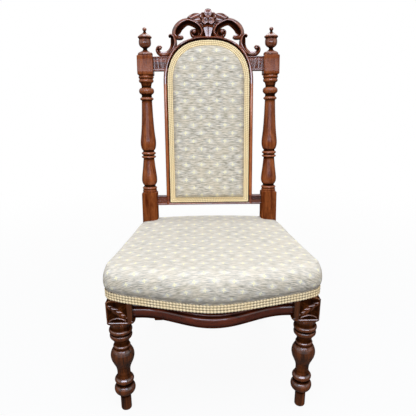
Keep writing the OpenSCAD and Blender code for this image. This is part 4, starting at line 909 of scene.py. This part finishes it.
# painted light: the cover's upper rows, from six tenths of the way up, carry a value that pales the
# cloth, as though lit from above
lit_top_share = np.concatenate([np.zeros(len(under)), np.clip((skin[:, 1] - 0.6) / 0.25, 0, 1)])
seat = piece("sprung_seat_cushion", [shell(rows, lit_top_share[:, None], lay, poles=middle)], cover_cloth,
             "cover_fabric", "seat_cover", "seat_stuffing", crease=180.0)


# Seat braid
# Woven furniture gimp, three cords wide with small loops at its edges, glued over the tacks
# along the foot of the cover, and a second length of it between the back posts.

def gimp_yarn(name, dark, light):
    """Cream and gold viscose gimp: by an attribute of rubbing and painted light, the cords are
    painted lighter as highlights and the furrows between them darker as painted shade, with the
    stitches' own lighter dashes. A fine noise gives the yarn's twist."""
    finish, tree = new_finish(name)
    place = add(tree, "ShaderNodeTexCoord")
    wear_and_painted_light = add(tree, "ShaderNodeAttribute", attribute_name="wear_and_painted_light")
    twist = add(tree, "ShaderNodeTexNoise", {"Vector": place.outputs["Object"], "Scale": 420.0,
                                             "Detail": 3.0})
    patchy = add(tree, "ShaderNodeTexNoise", {"Vector": place.outputs["Object"], "Scale": 30.0,
                                              "Detail": 3.0})
    cord_highlight_furrow_shade = add(tree, "ShaderNodeMapRange", {0: wear_and_painted_light.outputs["Fac"], 1: -1.0, 2: 0.35})
    body = add(tree, "ShaderNodeMix", {0: cord_highlight_furrow_shade.outputs[0], 6: colour(dark),
                                       7: colour(light)}, data_type="RGBA")
    worn = add(tree, "ShaderNodeMapRange", {0: patchy.outputs[0], 1: 0.42, 2: 0.68, 3: 0.0, 4: 0.4})
    aged = add(tree, "ShaderNodeMix", {0: worn.outputs[0], 6: body.outputs[2],
                                       7: colour("#e8c78c")}, data_type="RGBA")
    bump = add(tree, "ShaderNodeBump", {"Strength": 0.5, "Distance": 0.0005,
                                        "Height": twist.outputs[0]})
    skin = add(tree, "ShaderNodeBsdfPrincipled", {
        "Base Color": aged.outputs[2], "Roughness": 0.6, "Normal": bump.outputs[0],
        "Specular IOR Level": 0.35, "Sheen Weight": 0.2, "Sheen Roughness": 0.4})
    add(tree, "ShaderNodeOutputMaterial", {"Surface": skin.outputs[0]})
    return finish


# the seat's braid has a darker furrow colour than the back's, a deeper painted shade
gimp = gimp_yarn("cream_gimp_deeper_shade", "#432810", "#ffe8b6")
back_gimp_yarn = gimp_yarn("cream_gimp", "#96703a", "#ffeab4")


def gimp_section(run, width, loop):
    """Heights and places of the braid over its length and width: three half-round cords whose
    thickness swings with the loops, nearly in step, so that ribs run across, and scalloped edges."""
    v = np.linspace(-1, 1, 19)
    phase = 2 * np.pi * run[:, None] / loop
    cord = np.clip(np.round(v * 1.5), -1, 1)
    off = (v * 1.5 - cord) / 0.42
    round_cord = np.sqrt(np.clip(1 - off ** 2, 0, 1))
    swing = 0.75 + 0.25 * np.cos(phase + 0.5 * (cord == 0))
    height = 0.7 + 1.8 * round_cord * swing
    dashes = (1 - round_cord) * (0.5 + 0.5 * np.cos(phase + 1.2 * v))
    # painted light and shade: cord tops lighter as highlights, the furrows between cords darker; the
    # dashes are the stitches' own lighter colour
    wear_and_painted_light = 2.0 * round_cord * swing - 1.15 + 0.7 * dashes
    place = v * width / 2 * (1 + 0.07 * (np.abs(v) > 0.9) * np.cos(phase))
    return place, height, np.clip(wear_and_painted_light, -1, 1)


def gimp_strip(path, across, face, width, loop, ring=False):
    """Braid along a path: across is its width's direction and face the way that it looks."""
    ahead = np.roll(path, -1, 0) if ring else np.vstack([path[1:], path[-1:]])
    run = np.append(0, np.cumsum(np.linalg.norm(ahead - path, axis=1)))[:len(path)]
    place, height, wear_and_painted_light = gimp_section(run, width, loop)
    front = path[:, None] + across[:, None] * place[..., None] + face[:, None] * height[..., None]
    back = path[:, None] + across[:, None] * place[:, [-1, 0], None]
    return shell(np.concatenate([front, back], 1), np.column_stack([wear_and_painted_light, wear_and_painted_light[:, [-1, 0]]]), ring=ring)


fine_count = 1500
fine_edge, fine_out = seat_edge(fine_count)
order = np.roll(np.arange(fine_count), -(fine_count // 2))
line, out = fine_edge[order], fine_out[order]
braid_z, braid_out, braid_w, seat_loop, braid_gap = 326.3, 1.4, 20.0, 7.6, 0.8
spans = [("gimp_round_seat", "seat_braid", line[:, 1] < post_front_y - braid_gap),
         ("gimp_behind_seat", "rear_seat_braid", None)]
for name, node, keep in spans:
    if keep is None:
        rear = slice(2 * fine_count // 5, 3 * fine_count // 5)
        path2, out2 = fine_edge[rear], fine_out[rear]
        inside = np.abs(path2[:, 0]) < post_in_x - braid_gap
        path2, out2 = path2[inside], out2[inside]
    else:
        path2, out2 = line[keep], out[keep]
    path = np.column_stack([path2 + out2 * braid_out, np.full(len(path2), braid_z)])
    face = np.column_stack([out2, np.zeros(len(path2))])
    across = np.tile([0.0, 0.0, 1.0], (len(path), 1))
    piece(name, [gimp_strip(path, across, face, braid_w, seat_loop)], gimp, "braid", node, crease=180.0)


# Crest rail
# One piece of walnut, pierced and carved: the moulded arch over the panel, an arm to each post
# with a punched ground, a pair of C scrolls and a pair of side scrolls with hollowed faces, two
# leaves, a fluted tongue and a flower.

crest_walnut = walnut("polished_walnut_carved", 0, "#32120a", "#944a27", -0.5, 0.15)
panel_half_w, spring_s, arch_rise, back_rail_s = 128.5, 450.0, 129.5, 99.5
braid_half_w, braid_rise, braid_low_s = 116.5, 129.5 - 12 * 0.95, 108.5
face_out, rebate_w, arch_top_s = 8.0, 16.0, 577.0


def arch_outline(half_w, rise, low_s):
    """The panel's outline from the middle of its foot to the right and round: straight foot and
    sides, and a superellipse over the springing, each with its own count of even steps."""
    foot = np.stack([np.linspace(0, half_w, 41)[:-1], np.full(40, low_s)], 1)
    side = np.stack([np.full(90, half_w), np.linspace(low_s, spring_s, 91)[:-1]], 1)
    a = np.pi / 2 * np.linspace(0, 1, 71) ** 1.25
    arch = np.stack([half_w * np.cos(a).clip(0) ** 0.83, spring_s + rise * np.sin(a) ** 0.83], 1)
    half = np.concatenate([foot, side, arch])
    return np.concatenate([half, half[-2:0:-1] * (-1, 1)])


def braid_inset(distance):
    """The braid's outline moved inwards: each of its three measures shrinks by the distance."""
    return arch_outline(braid_half_w - distance, braid_rise - 0.95 * distance, braid_low_s + distance)


panel_line = arch_outline(panel_half_w, arch_rise, back_rail_s)
braid_line, inner_line = braid_inset(0.0), braid_inset(rebate_w)
# moulding: share of the way from the frame's edge to the braid at the stiles and at the crown of
# the arch, where its groove is wider, then height in front and a value of rubbing and painted light:
# the rib lighter as a painted highlight, the groove by the braid darker as painted shade
frame_moulding = np.array([
    (0.0, 0.0, 2.0, -0.3), (0.03, 0.03, 5.5, 0.1), (0.11, 0.08, 8.2, 0.5), (0.24, 0.16, 10.2, 0.7),
    (0.4, 0.26, 11.2, 0.7), (0.6, 0.36, 11.0, 0.6), (0.75, 0.44, 9.8, 0.1), (0.82, 0.5, 8.0, -0.6),
    (0.87, 0.56, 6.2, -1.0), (0.92, 0.7, 5.6, -1.0), (0.97, 0.86, 6.0, -1.0), (1.0, 1.0, 7.0, -0.7)])


def frame_part(outer, braid, inner):
    """The moulding between the frame's edge and the braid, and behind it the flat rebate that
    takes the upholstery, for three lines of points that run side by side."""
    crown = np.clip((outer[:, 1:] - spring_s) / arch_rise, 0, 1) ** 1.5
    share = frame_moulding[:, 0] + (frame_moulding[:, 1] - frame_moulding[:, 0]) * crown
    flat = outer[:, None] + (braid - outer)[:, None] * share[..., None]
    plan = np.concatenate([flat, inner[:, None], inner[:, None], braid[:, None], braid[:, None],
                           outer[:, None]], 1)
    out = np.concatenate([frame_moulding[:, 2], [face_out, -face_out, -face_out, -10.2, -10.2]])
    wear_and_painted_light = np.concatenate([frame_moulding[:, 3], np.zeros(5)])
    return shell(leaning(plan[..., 0], out[None, :], plan[..., 1]), wear_and_painted_light[None, :])


c_scroll = np.array([
    [0.47, 0.012, 0.03], [0.485, 0.008, 0.06], [0.525, 0.002, 0.088], [0.592, 0.03, 0.13],
    [0.605, 0.1, 0.16], [0.53, 0.212, 0.16], [0.38, 0.286, 0.13], [0.2, 0.212, 0.12],
    [0.137, 0.12, 0.105], [0.155, 0.045, 0.092], [0.215, 0.015, 0.09], [0.29, 0.04, 0.075],
    [0.318, 0.1, 0.06], [0.285, 0.135, 0.045]]) * 148
side_scroll = np.array([
    [0.75, 0.016, 0.035], [0.71, 0.035, 0.07], [0.668, 0, 0.1], [0.655, -0.07, 0.12],
    [0.66, -0.14, 0.12], [0.7, -0.22, 0.105], [0.77, -0.28, 0.095], [0.85, -0.3, 0.09],
    [0.925, -0.285, 0.085], [0.965, -0.235, 0.08], [0.955, -0.185, 0.07], [0.92, -0.165, 0.055],
    [0.892, -0.185, 0.04]]) * 148
# section of a scroll: place from its convex edge (1) to its hollow edge (-1), height, and a value whose
# high rib is a painted highlight and whose hollow is darkened as painted shade
scroll_section = np.array([
    (1.0, -2.0, -0.9), (0.98, 1.6, -0.5), (0.9, 3.8, 0.0), (0.76, 5.6, 0.2), (0.6, 6.9, 0.1),
    (0.46, 7.9, 0.4), (0.34, 8.7, 1.0), (0.24, 8.8, 1.0), (0.16, 8.0, 0.4), (0.1, 6.4, -0.6),
    (0.05, 4.0, -1.0), (-0.05, 1.8, -1.0), (-0.3, 0.6, -1.0), (-0.6, 0.0, -0.95),
    (-0.85, 0.0, -0.8), (-1.0, -0.6, -0.6)])


def scroll(table, side, top_out, depth):
    """A scroll along a smooth line: the section is as wide as the line's own width there, its rib
    is rounded and its hollow falls away to the inner edge; the back is flat."""
    line = spline(table, 8)
    p, w = line[:, :2], line[:, 2] / 2
    e = np.gradient(p, axis=0)
    e /= np.linalg.norm(e, axis=1)[:, None]
    n = np.stack([e[:, 1], -e[:, 0]], 1)
    full = np.clip(w / 5.5, 0.35, 1.0)[:, None]
    a = np.append(scroll_section[:, 0], [-1, 1])
    # where the hollow lies above the rib it leans back and is lightened as a painted highlight
    above = np.clip(-n[:, 1:], 0, 1) ** 1.5 * (a < 0.08) * np.minimum(1, 0.3 - a)
    out = np.append(scroll_section[:, 1], [0, 0])[None, :] * full * depth - 2.4 * above
    out[:, -2:] = -7.0
    x = p[:, :1] + n[:, :1] * w[:, None] * a
    s = arch_top_s + p[:, 1:] + n[:, 1:] * w[:, None] * a
    wear_and_painted_light = np.append(scroll_section[:, 2], [-0.5, -0.5])[None, :] + 1.7 * above
    return shell(leaning(side * x, out + top_out, s), np.clip(wear_and_painted_light, -1, 1))


def knob(x, s, profile, crown=0.9):
    """A small round turning that faces forward: rings of (radius, height in front)."""
    a = np.arange(24) * 2 * np.pi / 24
    r = np.array(profile)
    # painted light and shade: lighter at the tip by crown and darker towards the foot
    return shell(leaning(x + r[:, :1] * np.cos(a), r[:, 1:] + 0 * a, s + r[:, :1] * np.sin(a)),
                 np.linspace(crown, -0.8, len(r))[:, None])


def leaf(side):
    """A leaf that lies over a C scroll: straight rules between its lower and upper edges, a
    rounded back along each, and slanting ribs."""
    low = spline([[0.11, 0.215], [0.2, 0.25], [0.28, 0.295], [0.34, 0.33], [0.385, 0.352]], 8) * 148
    high = spline([[0.1, 0.4], [0.19, 0.432], [0.28, 0.425], [0.345, 0.395], [0.392, 0.36]], 8) * 148
    w = np.linspace(0, 1, 25)
    t = np.linspace(0, 1, len(low))[:, None]
    ribs = np.cos(2 * np.pi * (2.6 * t + 1.4 * w))
    out = 4.5 + 5.0 * t ** 0.7 - 6.5 * w + (1.8 * np.sin(np.pi * w) ** 0.5
                                            + 0.8 * ribs * np.sin(np.pi * w)) - 3.0 * t ** 6
    place = low[:, None] + (high - low)[:, None] * w[None, :, None]
    x = np.concatenate([place[..., 0], place[:, [-1, 0], 0]], 1)
    s = np.concatenate([place[..., 1], place[:, [-1, 0], 1]], 1) + arch_top_s
    out = np.column_stack([out, np.full((len(t), 2), -6.0)])
    # painted light and shade: the ribs' crests are lighter and the furrows between them darker; the back
    # is darkened
    wear_and_painted_light = np.column_stack([0.45 * ribs - 0.05 + 0 * t, np.full((len(t), 2), -0.5)])
    return shell(leaning(side * x, out, s), np.clip(wear_and_painted_light, -1, 1))


def tongue():
    """The fluted tongue under the flower: two hollows side by side that narrow downwards, with
    its lower end nearer to the eye than its upper end."""
    t = np.linspace(0, 1, 26)[:, None]
    a = np.linspace(-1, 1, 41)[None, :]
    half = 6.2 + 12.5 * t
    flute = np.abs(np.sin(np.pi * a)) ** 0.8
    out = 10.0 - 9.5 * t - 1.1 * flute * np.clip(4 * t, 0, 1)
    x = half * a
    s = arch_top_s - 2.0 + 42.0 * t + 0 * a
    x = np.column_stack([x, half, -half])
    s = np.column_stack([s, s[:, :2]])
    # painted shade: a dark line down the middle, darker edges, and the top end darkened where it passes
    # under the flower
    wear_and_painted_light = 0.1 - 0.9 * np.exp(-(a / 0.09) ** 2) - 1.0 * np.clip((np.abs(a) - 0.85) / 0.15, 0, 1)
    wear_and_painted_light = np.column_stack([wear_and_painted_light - 1.2 * np.clip((t - 0.8) / 0.12, 0, 1), np.full((len(t), 2), -0.6)])
    out = np.column_stack([out, np.full((len(t), 2), -4.0)])
    return shell(leaning(x, out, s), np.clip(wear_and_painted_light, -1, 1))


flower_s = 628.0


def petal(x0, s0, size, lift):
    """A petal of the cupped flower: a round plate with a rolled edge. Its far rim stands forward,
    but on the top petal it leans back."""
    rho = np.array([0.12, 0.3, 0.5, 0.64, 0.78, 0.9, 1.0, 1.06, 1.06, 1.04])
    out = np.array([-0.9, -0.8, -0.5, -0.1, 0.2, 0.3, -0.3, -1.8, -5.0, -10.0]) + lift
    a = np.arange(36) * 2 * np.pi / 36
    toward = np.arctan2(s0, x0)
    uneven = 1 + 0.06 * np.cos(2 * (a - toward)) - 0.04 * np.cos(5 * (a - toward))
    x = x0 + size * rho[:, None] * uneven * np.cos(a)
    s = flower_s + s0 + size * rho[:, None] * uneven * np.sin(a)
    far = rho[:, None] * np.cos(a - toward)
    dish = 0.3 if s0 < 10 else -0.25
    out = out[:, None] + dish * size * np.clip(far - 0.1, -0.4, 1) * (rho[:, None] < 1.05)
    # painted light and shade: the rolled rim is lightened, the far rim most, as painted highlights; the
    # middle, the tuck under the rim and the two upper side petals are darkened as painted shade
    wear_and_painted_light = np.array([-0.3, -0.2, 0.1, 0.5, 0.8, 0.9, 0.8, -0.3, -1.0, -1.0])[:, None]
    wear_and_painted_light = wear_and_painted_light + 0.8 * np.minimum(far, 0.3) * (rho[:, None] < 1.03) - 0.5 * (0 < s0 < 10)
    return shell(leaning(x, out, s), np.clip(wear_and_painted_light, -1, 1))


arm_low_s, arm_h, post_inner_x = 486.5, 39.0, 155.85


def punched_bar(x0, x1, s0, s1, lower_edge, upper_edge, side):
    """A flat bar between the panel's frame and a post: a matted ground of small punched dents
    between a raised lower border and a thinner upper one."""
    across = np.linspace(x0, x1, 46)[:, None]
    up = np.linspace(0, 1, 45)[None, :]
    s = s0 + (s1 - s0) * up
    edge_low = np.exp(-(((s - s0 - lower_edge / 2) / (lower_edge / 2)) ** 4))
    edge_high = np.exp(-(((s1 - s - upper_edge / 2) / (upper_edge / 2)) ** 4))
    dents = np.sin(across * 2.1) * np.sin(s * 2.3 + 1.1 * np.sin(across * 0.7))
    ground = 1 - np.clip(edge_low + edge_high, 0, 1)
    out = 7.6 - 3.0 * ground + 0.9 * dents * ground
    # painted light and shade: the raised borders are lighter, partly by rubbing and partly as a painted
    # highlight; on the matted ground the bumps are lighter and the dents darker
    wear_and_painted_light = 0.3 * edge_low + 0.1 * edge_high + ground * (0.05 + 0.6 * dents)
    x = np.broadcast_to(across, out.shape)
    s = np.broadcast_to(s, out.shape)
    x = np.column_stack([x, x[:, :2]])
    s = np.column_stack([s, s[:, -1], s[:, 0]])
    out = np.column_stack([out, np.full((len(out), 2), -7.8)])
    wear_and_painted_light = np.column_stack([wear_and_painted_light, np.full((len(wear_and_painted_light), 2), 0.0)])
    return shell(leaning(side * x, out, s), wear_and_painted_light)


arch = np.flatnonzero(panel_line[:, 1] >= spring_s)
arch_lines = [line[arch].clip((-np.inf, spring_s + joint_gap), np.inf)
              for line in (panel_line, braid_line, inner_line)]
crest = [frame_part(*arch_lines), tongue()]
web_half = [(34, -4), (30, 3), (20, 6), (14, 20), (17, 40)]
web = np.array([(-34, -4)] + web_half + [(-x, h) for x, h in web_half[:0:-1]]) + (0, arch_top_s)
# painted shade: the ground behind the scrolls is darkened all over
crest.append(shell(np.stack([leaning(web[:, 0], out, web[:, 1]) for out in (0.4, -6.0)]), -0.9))
for side in (-1, 1):
    crest.append(scroll(c_scroll, side, 0.0, 1.0))
    crest.append(scroll(side_scroll, side, -0.5, 0.9))
    crest.append(leaf(side))
    crest.append(knob(side * 39.0, arch_top_s + 15.0,
                      [(1.5, 9.7), (3.4, 9.0), (5.0, 7.2), (5.9, 4.6), (6.0, 1.0), (6.0, -6.0)]))
    crest.append(knob(side * 37.5, arch_top_s + 12.0,
                      [(2, -1.5), (8, -1.5), (10.5, -1.5), (11.5, -2.0), (11.5, -6.5)], -1.0))
    crest.append(knob(side * 136.0, arch_top_s - 28.5,
                      [(1.2, 7.0), (2.8, 6.3), (3.8, 4.6), (4.2, 1.6), (4.2, -5.0)]))
    crest.append(punched_bar(104.0, post_inner_x, arm_low_s, arm_low_s + arm_h + 0.5, 6.0, 3.5, side))
crest.append(knob(0.0, flower_s - 1.0, [(2, 7.5), (8, 7.0), (13, 5.0), (15, 1.5), (15.5, -6.0)]))
for x0, s0, size, lift in ((0, 11.4, 11.0, 7.0), (12.0, 4.0, 9.6, 8.6), (-12.0, 4.0, 9.6, 8.6),
                           (8.4, -8.8, 8.6, 11.0), (-8.4, -8.8, 8.6, 11.0)):
    crest.append(petal(x0, s0, size, lift))
crest.append(knob(0.0, flower_s - 0.5, [(1.2, 14.8), (3.0, 14.0), (4.4, 12.2), (5.0, 9.6), (5.0, 2.0)]))
piece("carved_crest_rail", crest, crest_walnut, "frame_wood", "crest_rail")


# Back stiles and lower back rail
# The sides and foot of the arched frame, dowelled at the corners, with the same moulding as the
# arch. The lower rail runs on to the posts with a punched ground like the crest's arms.

stile_walnut = walnut("polished_walnut_stile", 2, "#7a3716", "#c06f3c", -0.3, 2.2)
rail_top_s = 128.0
frame_half_ws = (panel_half_w, braid_half_w, braid_half_w - rebate_w)
rise_s = np.linspace(rail_top_s + joint_gap, spring_s - joint_gap, 60)
for side, hand in ((-1, "left"), (1, "right")):
    lines = [np.stack([np.full(60, side * w), rise_s], 1) for w in frame_half_ws]
    piece("moulded_back_stile_" + hand, [frame_part(*lines)], stile_walnut, "frame_wood",
          "back_stile_" + hand)
lines = []
for half_w, low_s in zip(frame_half_ws, (back_rail_s, braid_low_s, braid_low_s + rebate_w)):
    across = np.stack([np.linspace(-half_w, half_w, 61), np.full(61, low_s)], 1)
    lines.append(np.vstack([(-half_w, rail_top_s - joint_gap), across,
                            (half_w, rail_top_s - joint_gap)]))
lower = [frame_part(*lines)]
for side in (-1, 1):
    lower.append(punched_bar(127.5, post_inner_x, back_rail_s, rail_top_s, 5.5, 3.0, side))
piece("moulded_lower_back_rail", lower, crest_walnut, "frame_wood", "lower_back_rail")


# Back pad
# Canvas, hair and wadding under the figured cloth, set into the rebate of the frame: a low,
# even crown that falls away over a short roll at its edge.

back_crown, pad_in, pad_run, back_mid_s = 28.0, 15.5, 17.0, 342.75
pad_shares = spline([[0, 0.1, 1], [0.15, 0.33, 1], [0.44, 0.58, 1], [1, 0.77, 1], [1, 0.89, 0.8],
                     [1, 0.96, 0.55], [1, 1, 0.25]], 4)


def back_ring(inset, out, draw=1.0):
    """A ring of the back: the braid's outline moved in by inset, drawn towards its middle."""
    plan = braid_inset(inset)
    return leaning(plan[:, 0] * draw, face_out + out, back_mid_s + (plan[:, 1] - back_mid_s) * draw)


def back_lay(inset, draw=1.0):
    plan = braid_inset(inset)
    return np.stack([plan[:, 0] * draw, 515.1 - back_mid_s - (plan[:, 1] - back_mid_s) * draw], 1)


rows = [back_ring(2.0, 0.2), back_ring(2.0, 3.0)]
lays = [back_lay(2.0), back_lay(2.0)]
for share, crown, draw in pad_shares:
    rows.append(back_ring(pad_in + share * pad_run - 1.0, crown * back_crown, draw))
    lays.append(back_lay(pad_in + share * pad_run - 1.0, draw))
middle = [leaning(0.0, face_out + 0.2, back_mid_s), leaning(0.0, face_out + back_crown, back_mid_s)]
back_pad = piece("stuffed_back_pad", [shell(np.stack(rows), 0.0, np.stack(lays), poles=middle)],
                 cover_cloth, "cover_fabric", "back_cover", "back_stuffing", "back_canvas",
                 crease=180.0)


# Back braid
# The same gimp in a narrower width, glued round the edge of the pad over its tacks and mitred
# at the two lower corners.

back_braid_w, back_loop = 15.0, 5.0


def back_gimp(out, way):
    """Braid round the back: its middle line and outer edge are walked at even steps."""
    lines = np.concatenate([braid_inset(back_braid_w / 2), braid_line], 1)
    lines = np.vstack([lines, lines[:1]])
    run = np.append(0, np.cumsum(np.linalg.norm(np.diff(lines[:, :2], axis=0), axis=1)))
    at = np.arange(0, run[-1], 1.25)
    lines = np.stack([np.interp(at, run, lines[:, k]) for k in range(4)], 1)
    centre, across = lines[:, :2], (lines[:, 2:] - lines[:, :2]) / (back_braid_w / 2)
    path = leaning(centre[:, 0], out, centre[:, 1])
    wide = leaning(centre[:, 0] + across[:, 0], out, centre[:, 1] + across[:, 1]) - path
    face = leaning(centre[:, 0], out + way, centre[:, 1]) - path
    return gimp_strip(path, wide, face, back_braid_w, back_loop, ring=True)


piece("gimp_round_back", [back_gimp(face_out + 3.4, 1.0)], back_gimp_yarn, "braid", "back_braid",
      crease=180.0)


# Outside back
# The same cloth over a thin layer of wadding closes the rear of the frame. It is tacked to the
# back of the stiles, rail and crest, and edged with gimp.

rows = [back_ring(1.2, 0.15, 0.4), back_ring(1.2, 0.15), back_ring(1.2, 2.0), back_ring(14, 2.0),
        back_ring(20, 3.2), back_ring(30, 4.0), back_ring(40, 4.6, 0.8), back_ring(40, 5.0, 0.4)]
lays = [back_lay(1.2, 0.4), back_lay(1.2), back_lay(1.2), back_lay(14), back_lay(20), back_lay(30),
        back_lay(40, 0.8), back_lay(40, 0.4)]


def to_rear(points):
    """Mirrors points of the back through the frame's own middle plane."""
    rel = points - (0.0, seat_run, knee_z)
    normal = np.array([0.0, -np.cos(rake), np.sin(rake)])
    return points - 2 * (rel @ normal)[..., None] * normal


middle = [to_rear(leaning(0.0, face_out + h, back_mid_s)) for h in (0.15, 5.0)]
outside = piece("outside_back", [shell(to_rear(np.stack(rows)), 0.0, np.stack(lays), poles=middle)],
                cover_cloth, "cover_fabric", "outside_back_cover", crease=180.0)
piece("gimp_outside_back", [back_gimp(-face_out - 2.3, -1.0)], back_gimp_yarn, "braid",
      "outside_back_braid", crease=180.0)
